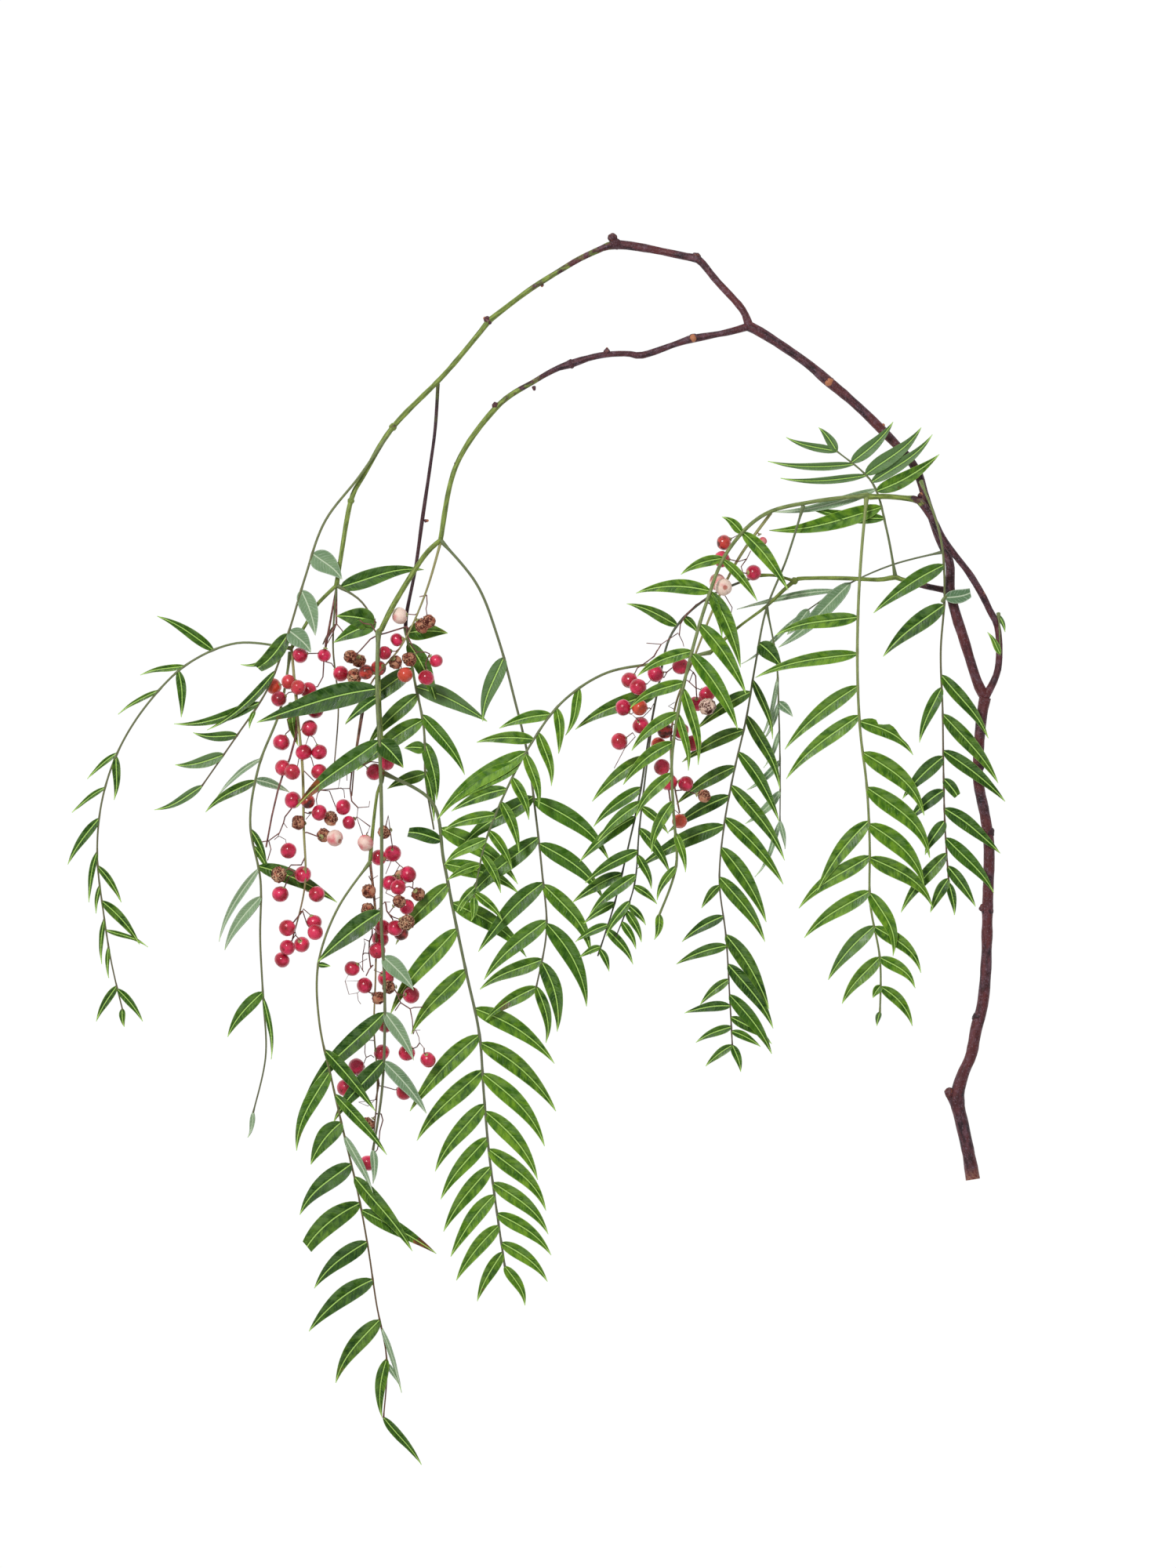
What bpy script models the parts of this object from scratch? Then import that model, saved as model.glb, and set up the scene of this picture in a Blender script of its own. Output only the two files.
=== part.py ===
"""A cut sprig of pink peppercorn laid down on a surface, in metres, +Z up.

The woody stem rises at the right, arches over to the left, and hangs its fronds and berries down its
inner side. Points are read by hand in millimetres from the sprig seen from above: +X to its right, +Y
towards the arch.
"""

import math
import random

import bmesh
import bpy
from mathutils import Matrix, Vector

MM = 0.001
SEED = 11

BLADE_THICKNESS = 0.6 * MM
BLADE_DROOP = 0.03  # how far a leaflet's tip falls, for its length
BLADE_BOWS = (0.04, 0.05)  # how far the midribs of left and right leaflets bow out, for their length
BLADE_ROLL = math.radians(7)
LONG_BLADE = 30 * MM
ROOT_DEPTH = 0.15 * MM

BERRY_RADIUS = 3.0 * MM
BERRY_GAP = 5.9 * MM
BERRY_LIFT = 3.0 * MM
FACET_SWELL = 1.04  # keeps a berry of few faces as large as a round one
HOLD_START = 4 * MM
PEDICEL_RADIUS = 0.42 * MM

STEM_STEP = 20 * MM
FLOOR_SPAN = 600 * MM
FLOOR_DEPTH = 20 * MM
CLEARANCE = 0.35 * MM

BARK = (0.085, 0.030, 0.028)
LEAF = (0.075, 0.190, 0.030)
LEAF_BACK = (0.270, 0.400, 0.250)
BERRY = (0.560, 0.025, 0.075)

# Limbs of the woody stem: x, y, height and radius in millimetres
LIMBS = {
    "main": [
        (155.9, -118, 2.3, 2.6), (154.4, -109, 2.0, 2.3), (151.9, -97.5, 2.4, 2.3), (150.2, -89, 3.2, 2.6),
        (152.2, -80.5, 3.8, 2.1), (155.2, -73.5, 4.2, 2.0), (157, -64, 4.6, 2.2), (159.3, -55, 5, 2.0),
        (160.5, -41, 5.4, 1.95), (161, -20, 6.2, 1.95), (161.5, 0, 7, 1.95), (160, 12, 7.5, 1.9),
        (157.5, 26, 8, 1.9), (158.5, 45, 9, 1.9), (160, 54, 9.5, 2.1),
    ],
    "left_fork": [
        (160, 54, 9.5, 1.8), (157, 60, 9.8, 1.8), (152, 76, 10.5, 1.85), (150, 82, 10.8, 1.85),
        (147.5, 92, 11.2, 1.7), (147.3, 102, 11.5, 1.6), (143.5, 111, 11.5, 1.55), (139, 124, 11.5, 1.5),
        (134.5, 136.6, 11.5, 1.55), (121.5, 151, 11, 1.7), (112, 160, 11, 1.6), (104, 166.7, 10.5, 1.8),
        (97, 172.7, 10.3, 1.6), (88.5, 178.7, 10, 1.65), (80.6, 183.8, 9.6, 1.8), (75.9, 186.3, 9.5, 1.85),
    ],
    "right_fork": [
        (160, 54, 9.5, 1.5), (164.5, 64, 10.5, 1.25), (164.5, 78, 12, 1.15), (161.3, 85.4, 13.3, 1.2),
        (158.5, 91, 14.2, 1.25), (154, 98.3, 15.6, 1.2), (149.5, 104, 16.5, 1.2), (145, 110, 17, 1.25),
        (141, 117.5, 17.6, 1.3), (137.5, 122.5, 18, 1.35), (135.5, 124.3, 18, 1.3), (131.5, 124.8, 18, 0.95),
        (124.9, 125.4, 18.5, 0.95), (120.5, 125.3, 18.9, 1.0), (118.7, 125.3, 19, 1.15),
    ],
    "middle_twig": [
        (147, 92, 11, 1.2), (138.3, 93.8, 10.6, 1.05), (130.5, 96, 10.2, 0.8), (128, 96.9, 10, 0.95),
        (122, 96, 9.8, 0.75), (110, 96.5, 9.5, 0.75), (97, 96.5, 9.5, 0.7), (92, 95.5, 9.8, 0.75),
        (82, 86.5, 11, 0.55), (72, 79, 13, 0.5), (62, 70, 15, 0.75),
    ],
    "middle_side": [(92, 95.5, 9.8, 0.6), (85, 97.5, 10, 0.5), (78.5, 97.4, 11, 0.75)],
    "outer_arch": [
        (75.9, 186.3, 9.5, 1.6), (73.3, 192.6, 8.5, 1.35), (64.4, 202.6, 6.2, 1.25), (59, 209.3, 4.8, 1.35),
        (56.5, 210.8, 4.2, 1.6), (53.5, 211.4, 3.8, 1.4), (40.9, 214.1, 2.2, 1.45), (32.5, 215.5, 1.5, 1.6),
        (28.3, 215.7, 1.3, 1.75), (25.8, 215.3, 1.3, 1.4), (23, 214.2, 1.3, 1.15), (15.7, 210.8, 1.3, 1.05),
        (10.1, 207.5, 1.4, 1.0), (2.2, 202.6, 1.9, 1.0), (-3.9, 198.5, 2.3, 0.95), (-14.6, 190.3, 3.1, 1.0),
        (-17.4, 187.9, 3.4, 1.15), (-20.2, 184.2, 3.6, 0.95), (-33, 169, 4.8, 0.9), (-51, 150.5, 7, 1.0),
        (-61, 134, 9, 0.85), (-66, 124, 10, 0.9), (-69.5, 104, 12, 0.8), (-71, 94, 12.5, 0.95),
    ],
    "outer_twig": [(-71, 94, 12.5, 0.7), (-78, 87, 12.5, 0.65), (-82, 80, 12.3, 0.6), (-87.5, 71, 12, 0.7)],
    "dark_twig": [
        (-35, 166, 4.9, 0.65), (-36, 150, 5.5, 0.6), (-38, 135, 6, 0.6), (-40.5, 118, 7, 0.7),
        (-43, 100, 8, 0.6), (-46, 85, 8.5, 0.65), (-46.5, 79.5, 8.5, 0.75),
    ],
    "inner_arch": [
        (75.9, 186.3, 9.5, 1.5), (68.9, 184.3, 9.5, 1.25), (62.7, 183.1, 9.5, 1.15), (56.6, 182, 9.5, 1.4),
        (54, 181.4, 9.5, 1.3), (49.3, 179.8, 9.7, 1.1), (38.1, 176, 10, 1.2), (32.5, 176.5, 10, 1.05),
        (25.2, 176.2, 10.2, 1.1), (19, 175, 10.3, 1.15), (12.3, 172.8, 10.5, 1.45), (9.5, 171.9, 10.5, 1.2),
        (6.7, 170.8, 10.6, 1.0), (0, 167, 11, 0.9), (-14, 157.5, 11.5, 1.05), (-28.5, 136.5, 12.5, 0.9),
        (-34, 110, 14, 0.9),
    ],
    "inner_twig": [(-34, 110, 14, 0.85), (-40, 104, 15.5, 0.9), (-50, 88, 19, 1.0), (-55, 78, 20.5, 0.95)],
    "hanging_stem": [
        (-55, 78, 20.5, 0.6), (-56, 72, 14.5, 0.55), (-55.5, 50, 13.5, 0.55), (-54.5, 27, 13, 0.7),
        (-56.5, 20, 13, 0.55), (-58, 8, 13.5, 0.6), (-59, -4, 14, 0.75),
    ],
}

# Knots and bud stubs on the limbs: x, y, height and radius in millimetres
KNOTS = [
    (147.6, -87, 3.6, 2.0), (159.5, -21, 6.3, 1.7), (104.2, 166.6, 10.8, 1.95), (57.2, 211.2, 4.3, 1.75),
    (27.2, 218.2, 1.8, 1.78), (-17.5, 188.9, 3.5, 1.3), (56, 182.2, 9.6, 1.6), (25.2, 177.2, 10.2, 1.2),
    (-14.5, 158, 11.6, 1.35),
]

# Each stem of a frond: its points x, y, and its heights spread evenly along it. Leaflets run from x, y to
# x, y, with the width in millimetres where it isn't the usual one. Bows are for the left and the right
# leaflets' midribs, as a share of their length, and slim makes the usual widths smaller.
FRONDS = {
    "frond_far_left": dict(
        stems=[(
            [(-87, 71.5), (-94, 72.5), (-104, 73.5), (-110, 72.8), (-116, 71), (-122, 67.5), (-128, 63),
             (-134, 57.5), (-139, 51), (-144, 44), (-148, 37), (-151, 30), (-153.5, 22), (-155.5, 14),
             (-156.5, 5), (-156.5, -3), (-155.8, -11), (-154.8, -19), (-153.7, -28), (-152.5, -36),
             (-151, -43), (-149.5, -50), (-147, -60)],
            (12, 10, 9, 8, 7, 6, 5, 4, 2),
        )],
        leaflets=[
            (-115.5, 72, -135, 83, 3.7), (-125.5, 65.5, -141, 62, 2.4), (-127, 63, -126.5, 47, 3.4),
            (-135, 57, -149, 48, 1.8), (-150, 34.5, -160, 25, 2), (-149.5, 33, -150.5, 17.5, 3),
            (-154, 22, -165.5, 13, 1.8), (-156.5, 11, -167, -5.5, 3.4), (-157, -1, -159.5, -19, 2.2),
            (-156, -6, -148, -19, 2.6), (-155.5, -13, -157, -23, 1.6), (-154.5, -18.5, -141.5, -34, 3.7),
            (-153.5, -29, -138.5, -35, 1.8), (-154.5, -25, -155, -41, 1.8), (-153.5, -35, -152.5, -46, 1.6),
            (-150, -49, -157, -61.5, 2.9), (-149.5, -50, -140.5, -61.5, 2.8),
            (-147.5, -57, -147, -63.5, 2.3),
        ],
        clears=["outer_twig"],
        bows=(0.04, 0.05),
    ),
    "frond_left_arch": dict(
        stems=[(
            [(-51, 150.5), (-56, 144.5), (-62, 134), (-70, 124), (-76, 115), (-79, 106), (-82, 97),
             (-85, 88), (-88, 77), (-91.5, 68), (-95, 58), (-98, 53), (-103, 46), (-108, 38), (-112, 31),
             (-116, 25.5), (-119, 22.5)],
            (7, 10.5, 14, 16, 17, 17.5, 17, 15, 13, 11),
        )],
        leaflets=[
            (-79, 105, -69, 96, 8), (-83, 92, -78.5, 76, 6.5), (-87, 77.5, -80, 70, 7),
            (-88, 76.5, -99, 64.5, 5.8), (-93.3, 63.6, -117, 42.4, 3.2), (-99.3, 52.8, -128.8, 44.6, 3.9),
            (-107, 41, -122, 41.5, 3.6), (-111, 33.5, -128.5, 30, 4.4), (-119, 22.5, -136, 14, 3.2),
            (-101, 50, -102, 43, 1.6), (-91, 68, -105, 65.7, 2),
        ],
        clears=["outer_arch"],
        bows=(-0.06, 0.05),
    ),
    "frond_left_hanging": dict(
        stems=[(
            [(-87.5, 70), (-89, 60), (-91, 50), (-95, 43), (-98, 33), (-100, 23), (-101, 15), (-102, 8),
             (-101, 1), (-98.5, -6), (-98.3, -15), (-98.5, -28), (-98, -40), (-97.5, -50), (-97, -62),
             (-96.5, -74), (-97, -84), (-101, -94)],
            (12, 8.5, 8, 8, 8, 8, 7, 6, 5, 3, 2),
        )],
        leaflets=[
            (-97.5, 32, -113.8, 18.5, 2), (-100, 24.3, -117.8, 13.2, 3.8), (-99, 24.5, -88, 20.3, 3.4),
            (-102, 7, -96, -6, 2.6), (-101, 1, -95, -9, 2.4), (-98.5, -6, -71, -19, 5.8),
            (-98.5, -7, -113, -33, 2.9), (-99, -17, -111, -36, 4.4), (-97.8, -51, -110, -67, 4.8),
            (-97, -53, -94.5, -75, 2), (-101, -94, -103, -103, 1.8),
        ],
        clears=["outer_twig", "frond_far_left"],
        bows=(0.06, 0.05),
    ),
    "frond_centre_left": dict(
        stems=[(
            [(-56, 77.5), (-57, 66), (-56.3, 56), (-56, 46), (-55.5, 38), (-55, 28), (-54.8, 15),
             (-54.7, 0), (-54.8, -12), (-55, -22), (-54.5, -32), (-54, -40), (-53.8, -50), (-53.8, -58),
             (-53.8, -68), (-54, -75), (-54.5, -84), (-56, -93), (-57.5, -101), (-58, -107)],
            (20.5, 26.5, 28, 27, 26, 25, 24, 22, 20, 17.5, 15, 14),
        )],
        leaflets=[
            (-56.5, 57, -99, 45, 8.8), (-56, 38.5, -85, 15, 6.8), (-55.3, 38.5, -47, 29, 7.4),
            (-58, 54, -67.5, 45, 3.6), (-55, -22, -77.5, -40, 7.2), (-53, -38, -43.5, -50, 6.2),
            (-54, -58, -82, -88, 6.8), (-53, -58, -43.5, -75, 5.2), (-54, -75, -72, -97, 6.2),
            (-53, -75.5, -39, -94, 5.2), (-58, -107, -58, -119, 2.8),
        ],
        clears=["inner_twig", "hanging_stem"],
        bows=(0.03, 0.04),
    ),
    "leafy_stem_upper_left": dict(
        stems=[
            ([(-71, 94), (-66, 91.5), (-62, 88), (-58.5, 84.5), (-57, 80.5)], (12.5, 13, 13.5, 14)),
            ([(-71, 94), (-71.5, 80), (-72.5, 70), (-71, 60), (-70.5, 48), (-71.5, 38), (-72, 30)],
             (12.5, 8, 6, 5)),
            ([(-71.6, 80), (-74, 77), (-76, 73)], (8.5, 8)),
        ],
        leaflets=[
            (-57.5, 81, -71, 83, 7.5), (-57, 80.5, -72, 73.5, 6), (-69.5, 93.5, -40, 99.5, 6.2),
        ],
        clears=["outer_arch", "outer_twig", "hanging_stem", "inner_twig"],
    ),
    "frond_low_left": dict(
        stems=[(
            [(-59, -4.5), (-62, -8), (-66, -13), (-70, -20), (-73.5, -28), (-77, -39), (-77.8, -48),
             (-77.3, -58), (-76, -67), (-74, -76), (-71.5, -86), (-69.5, -96), (-67, -106), (-64.5, -117),
             (-62, -129), (-60, -141), (-58, -155), (-56, -168), (-53.5, -180), (-53.5, -190),
             (-54.5, -203)],
            (14, 17, 20, 22.5, 23.5, 23.5, 22, 18, 14, 10, 6.5, 4, 2, 0.9),
        )],
        leaflets=[
            (-73, -79, -85, -107, 5.7), (-74, -71, -57, -93, 4.8), (-71, -87, -53, -108.5, 4.2),
            (-69.5, -97, -80, -112, 7), (-66, -112, -84, -130, 7), (-63, -126, -81.5, -141.5, 7.6),
            (-61, -140, -79, -156.5, 6.3), (-58.5, -153.5, -81, -172, 6.8), (-56, -168, -71.5, -190.5, 6.3),
            (-53, -182, -55, -203, 4.2), (-68, -102, -58, -122, 3), (-64.5, -116.5, -44, -143, 5.8),
            (-62, -128.5, -35.5, -144, 5.4), (-55.5, -171, -48, -194, 1.8), (-54.3, -203, -41, -219.9, 3.3),
            (-53, -183.5, -48.7, -191.5, 1.8), (-77.4, -41, -73, -41.5, 2),
        ],
        clears=["hanging_stem"],
        bows=(0.07, 0.02),
    ),
    "frond_low_centre": dict(
        stems=[(
            [(-54, 27), (-49, 25.6), (-44, 24), (-40, 21.5), (-37, 17), (-35.3, 10), (-34, 2), (-32, -9),
             (-30, -19), (-28, -30), (-25.5, -42), (-22.5, -53), (-20.5, -64), (-19.3, -76), (-18.5, -90),
             (-17.6, -101), (-16.5, -111), (-15, -122), (-13.6, -133), (-12, -143), (-11.2, -149)],
            (13, 13, 10.5, 8.5, 7, 6.5, 6.5, 6, 6, 5, 4, 2.2, 0.9),
        )],
        leaflets=[
            (-34.5, 3, -45.5, 6, 5), (-32, -12.5, -50, -34), (-28.5, -28.5, -52, -59),
            (-25, -43, -44.5, -66), (-21.5, -66.5, -45, -93.5), (-20, -79, -42.5, -104),
            (-19, -91, -36, -115), (-18, -103, -34, -125), (-17, -113.5, -33, -136.5),
            (-15.5, -123.5, -30.5, -145.5), (-14, -134.5, -28.5, -154), (-12.5, -144, -21, -161.5),
            (-33.5, 7.5, -6.5, -12.5), (-32, -5, -6, -16), (-29, -19, -3.5, -38.5),
            (-20.5, -56.5, 6.5, -76.5), (-19, -69, 7, -93.5), (-18, -80, 3, -106),
            (-17.3, -93.5, 0.5, -118), (-16.2, -107, 3.5, -129), (-14.7, -119, 4.3, -137.5),
            (-13.3, -130, 5.3, -145), (-12.2, -140.5, 4, -154.5), (-11, -149, -4, -163),
        ],
        clears=["hanging_stem"],
        bows=(0.045, 0.08),
        slim=0.88,
    ),
    "frond_upper_left": dict(
        stems=[(
            [(-46.5, 79), (-45.5, 70), (-43.5, 61), (-41.5, 54), (-40.3, 46), (-39.7, 38), (-39.6, 30),
             (-39.3, 24), (-38, 15), (-36.5, 7)],
            (8.5, 7.2, 7, 7, 6, 4),
        )],
        leaflets=[
            (-46, 77, -31.5, 77, 6.5), (-46, 64, -68, 44.5), (-43, 55, -60, 37), (-41, 46, -64, 28),
            (-40, 36, -47, 36, 4.5), (-40, 27, -53, 21.5, 4.6), (-45.5, 73.5, -35.5, 52, 6),
            (-42, 58, -17.5, 45.5, 6.5), (-40, 48, -25.5, 26.5, 5), (-39.5, 38, -35.5, 17.5, 5),
            (-39.3, 28, -36.5, 10, 2.6),
        ],
        clears=["dark_twig"],
        bows=(0.04, 0.05),
        slim=0.9,
    ),
    "frond_short_centre": dict(
        stems=[(
            [(62, 70), (50, 67.3), (41, 66), (33, 64.8), (26, 63), (20, 60.5), (15, 56.5), (9, 52),
             (4.5, 47), (0, 40.5), (-4, 33.5), (-8, 26.5), (-11, 20), (-14, 12.5), (-17, 5),
             (-19.5, -2.5), (-21, -10), (-22, -17)],
            (15, 16, 17, 19, 22, 24, 24, 23, 21, 19),
        )],
        leaflets=[
            (4, 49, -13, 43), (-1.5, 39.5, -21, 38), (-4, 35, -35, 10.5), (-6.5, 30.5, -32, 14),
            (-10.5, 21.5, -30, 13.5), (-13.5, 12, -33, 6.5), (-17, 3.5, -32.5, -5.5),
            (-20, -5.5, -31.5, -11), (-22, -13, -28, -22), (15.5, 57, 10.5, 40.5, 3.4),
            (7.5, 50, 8, 34, 3.6), (1.5, 41, 5.5, 22.5, 4), (-3, 33.5, 1, 15, 4),
            (-7.5, 25, -2.5, 10.5, 3.8), (-10.5, 16, -6, -1, 3.8), (-15, 6, -8.5, -7, 3.6),
            (-18.5, -2, -12.5, -15.5, 3.4), (-21, -15.5, -12, -25.5, 3.2), (-22, -17, -23, -25.5, 3),
        ],
        clears=["middle_twig"],
        bows=(0.06, 0.06),
        slim=0.85,
    ),
    "frond_centre": dict(
        stems=[(
            [(-34, 110), (-31, 108), (-27, 105), (-23.5, 99), (-20, 92), (-15.5, 81), (-12, 70),
             (-9.5, 60), (-7, 51), (-5, 42), (-3.5, 36), (-1.7, 27), (-0.5, 18), (0, 10), (1, 2), (2, -7),
             (3, -15), (3.8, -25), (3.5, -33), (3, -40), (1, -46), (0, -49.5)],
            (14, 14.5, 14, 13.5, 13, 13, 12.5, 12, 11, 9),
        )],
        leaflets=[
            (-10.5, 68.5, -19, 45.5, 6), (-2, 18.5, -27, 0), (0, 4, -27, -22), (2, -12, -20.5, -36.5),
            (3.3, -25.5, -18.5, -46.5), (3, -39.5, -20, -50), (-0.5, -49, -18, -61), (1, 18, 26, -4),
            (1.5, 2, 24, -18), (3.5, -12.5, 19.5, -37.5), (4, -26.5, 18, -56), (3.5, -40.5, 7.5, -65, 6),
            (0, -49, 3.5, -69, 4),
        ],
        clears=["inner_arch", "inner_twig"],
        bows=(0.05, 0.09),
        slim=0.87,
    ),
    "frond_front_right": dict(
        stems=[(
            [(118, 125.8), (105, 125), (95, 122.5), (84, 120), (78, 117), (72, 111.5), (67, 104),
             (63, 95), (60, 86), (57, 77), (55, 69), (52.5, 60), (51, 52), (49.5, 43), (48.5, 34),
             (47.5, 27), (47.5, 19), (49, 12), (50.3, 5), (50.3, -2), (49, -9), (46, -17), (43.5, -24)],
            (19, 20, 21.5, 26, 31, 34, 36, 36, 36, 35, 33, 30, 27),
        )],
        leaflets=[
            (73, 112.5, 66, 118, 3.4), (67, 103, 51.5, 97.5), (62, 91.5, 35.5, 90.8),
            (54.5, 70.4, 36, 61.3), (51.5, 59.5, 33.4, 50), (50, 48.4, 34, 35), (48.5, 38, 31, 23),
            (47.5, 27, 35.5, 11.5), (47.5, 17, 41, -1), (50, -6, 43, -18, 3), (74, 112, 89.5, 92),
            (67.5, 102, 78.5, 88, 3.4), (62, 91, 66, 75, 3), (63, 91, 72.5, 64.5), (59, 79.5, 74.5, 55),
            (56.5, 69, 71.5, 42.5), (53, 57, 57.5, 30, 4), (51, 48, 54, 28, 3), (50.5, 6, 53, -8, 3),
            (44, -23, 42, -32, 3),
        ],
        clears=["right_fork"],
        bows=(0.08, 0.05),
        slim=0.82,
    ),
    "frond_inner_right": dict(
        stems=[
            ([(79, 97.5), (70, 94.5), (60, 89), (55, 87.5), (51, 82.5), (48, 76), (46, 68), (44, 60),
              (42.5, 52), (41, 44), (39.5, 36), (38.3, 28), (37, 20), (35.5, 11), (33.5, 3), (31.5, -4),
              (29.5, -12), (27.8, -20), (26.3, -27), (24, -33), (22, -38)],
             (11, 10.5, 11, 13, 14, 14.5, 15.5, 16, 15, 14, 12)),
            ([(41.2, 44), (40.6, 37), (39.5, 30), (38.5, 23), (37.5, 14), (36.5, 5), (35.5, -4),
              (35, -12), (34, -19), (31.5, -25), (28.5, -31)],
             (14.6, 19, 20.5, 21, 21, 20, 18, 16)),
        ],
        leaflets=[
            (49, 80.6, 32.3, 87.4), (52.5, 83, 57.5, 77, 3), (43, 56, 14, 42.6), (38.7, 33, 20, 17),
            (37, 22, 20.5, 8), (35.2, 11.5, 15.5, -4.5), (30, -8.5, 13, -19, 4.6), (28, -19, 17, -26.5),
            (26, -27, 14, -33), (24, -35, 15.5, -38.5), (27, -29, 34.5, -41), (24, -36, 26, -43.5),
            (37.5, 17, 22, 3), (36, -0.5, 17.5, -12), (35.3, -9, 19, -23.5), (33.5, -18.5, 25, -31),
            (38.5, 15, 47, 5.5), (36.5, 7.5, 47.5, -8.5), (36, -2, 41, -14, 3), (35, -13, 43, -19.5),
            (33.5, -20, 39, -27), (32.5, -22, 37.5, -33), (31, -26, 35.5, -35.5),
        ],
        clears=["middle_side"],
        bows=(0.05, 0.06),
        slim=0.78,
    ),
    "frond_mid_right": dict(
        stems=[(
            [(95, 122), (92, 112), (88, 100), (84, 90), (81.5, 84), (80, 77), (78.5, 68), (77, 60),
             (76, 52), (74, 43), (71.5, 33), (70, 25), (68, 15), (66.5, 5), (65.8, -3), (65.3, -12),
             (65.8, -20), (67, -28), (68.3, -34), (69, -41), (69, -47), (68.8, -53), (68.3, -59),
             (69, -64), (70, -70)],
            (20.5, 18, 15.5, 14, 13, 12.5, 12, 11.5, 11, 10, 8, 6, 4),
        )],
        leaflets=[
            (76.5, 56, 57, 42.5), (73.5, 42.5, 52, 31), (70.5, 29.5, 50, 16), (68.5, 19, 47, 6),
            (66.5, 8.5, 36, -7), (64.8, -13, 59, -21, 3), (66, -24, 52, -33, 4), (67.5, -34.5, 50, -41),
            (68.5, -46.5, 58.5, -55.5), (67.8, -56, 53, -58.5), (68, -63.5, 57, -69),
            (69.5, -70.5, 60.5, -77.5), (79.6, 73.3, 87.3, 65, 6.2), (77.5, 60.1, 84.2, 39.3, 2.8),
            (76, 47.3, 86.8, 21.5, 4.4), (73.5, 34.2, 86.5, 10, 4.5), (70.5, 22.5, 88.5, -4, 5),
            (68, 11, 88, -12.5, 5.2), (66.5, 0.5, 82, -26), (66, -10, 81.5, -33), (68, -30.5, 83, -57),
            (69.5, -41, 84.5, -64), (69, -52, 84, -73), (68.8, -60, 84, -69.5), (69.5, -65, 80, -70.5, 3),
            (70, -70, 73, -79.5, 3),
        ],
        clears=["frond_front_right"],
        bows=(0.05, 0.05),
        slim=0.8,
    ),
    "frond_pale_right": dict(
        stems=[(
            [(82, 86.5), (84, 79), (85.5, 70), (85.8, 60), (86.5, 50), (86.7, 40), (87, 30), (87.3, 22),
             (87, 10)],
            (11, 8, 6.5, 6, 5.5, 5, 4.5, 4),
        )],
        leaflets=[
            (86.7, 52.5, 91.5, 47.2, 3.2), (85.4, 61, 79, 38, 1.6), (86.6, 52, 80.8, 38.8, 1.8),
            (86.8, 42, 81.1, 29, 1.8), (87.1, 31.5, 75.2, 21.1, 2.6), (87.4, 20.6, 74.6, 9, 3.2),
            (87, 10, 78, -10, 2), (87, 10, 88.8, 0, 1.8),
        ],
        clears=["middle_twig"],
        bows=(-0.06, 0.03),
        backs=True,
    ),
    "frond_right": dict(
        stems=[(
            [(117.5, 125), (116.8, 120), (116, 110), (115.3, 100), (114.8, 90), (114.3, 80), (114.2, 70),
             (114.3, 60), (114.5, 50), (115.5, 40), (116.8, 30), (117.8, 20), (118.3, 10), (118.7, 0),
             (118.5, -10), (118.8, -18), (119.7, -27), (122, -37), (123.5, -46), (123.5, -53),
             (122.5, -60)],
            (19, 20, 20, 20, 20, 19.5, 19, 18, 17, 15, 12, 8),
        )],
        leaflets=[
            (114, 82.5, 85, 76, 5.2), (114, 69.5, 78, 61, 4.9), (114.5, 58, 88.5, 35.5, 5.6),
            (114.5, 47.5, 89, 25, 5.6), (117.5, 10, 100, -15, 6), (118, -2.5, 93.5, -21, 5.8),
            (118.3, -15, 95.5, -31.5, 5.7), (119.5, -27.5, 104, -46.5, 5.6), (122.5, -38.5, 109, -55, 5.2),
            (123.5, -48.5, 120, -53, 3), (116, 45.5, 134, 33.5, 5.6), (117, 34.5, 138, 12, 6.9),
            (118, 22, 140, -3, 7.1), (119, 9, 138, -13, 6.9), (119, -3, 141, -20.5, 6.2),
            (119, -15.5, 127, -38, 5.6), (120.5, -27.5, 137, -44, 5.2), (123, -38.5, 135, -49.5, 4.6),
            (124, -49, 134, -63, 4.4), (122.5, -58, 121.5, -63, 2),
        ],
        clears=["right_fork", "frond_front_right"],
        bows=(0.05, 0.11),
    ),
    "frond_far_right": dict(
        stems=[(
            [(137, 131), (139, 126), (142, 118), (144, 109), (145, 100), (145.3, 92), (145.2, 87),
             (144.5, 78), (144, 70), (144.5, 60), (144.7, 50), (144.8, 40), (145, 30), (145.2, 20),
             (145.5, 10), (146, 2), (146.7, -6), (147, -12)],
            (13.5, 26, 20, 16.5, 14.5, 14, 14, 13.5, 13, 12, 11),
        )],
        leaflets=[
            (144.5, 101, 120, 84, 5.6), (144.5, 87, 123.5, 68.5, 6.6), (144, 57.5, 136.5, 38, 4.4),
            (144.5, 33, 130.5, 18, 5.5), (144.5, 21, 132.5, 10, 5), (145, 10, 138.5, -2, 4.6),
            (145.5, -1.5, 130, -22.5, 5), (146.5, -10.5, 140.5, -22.5, 4), (145, 62, 161, 39.5, 4.9),
            (145, 48, 164.5, 23.5, 5.6), (145.2, 35, 167, 17, 5.2), (145.3, 25, 150, 19, 4),
            (145.8, 14.5, 165.3, -1.5, 5.5), (146.7, 4, 163, -15.5, 5.5), (147.2, -6, 156.5, -20.5, 4.3),
            (147, -12, 149, -23.5, 3),
        ],
        clears=["left_fork", "right_fork"],
        bows=(0.04, 0.035),
    ),
    "tuft_upper_right": dict(
        stems=[(
            [(128, 97), (126.5, 105), (125, 113), (122, 121), (120.5, 127), (119, 132), (116.5, 135),
             (112.5, 138.5), (107, 141.5)],
            (10, 13, 15.2, 16.2, 16.8, 17.5),
        )],
        leaflets=[
            (119.8, 127.5, 84, 120, 3.4), (117.5, 133, 87, 132, 2.8), (113, 137, 82.5, 138, 2.9),
            (107, 141.5, 89, 146.5, 3), (107, 142, 100.5, 150, 3.4), (113, 138.5, 127, 152, 4.7),
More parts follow.
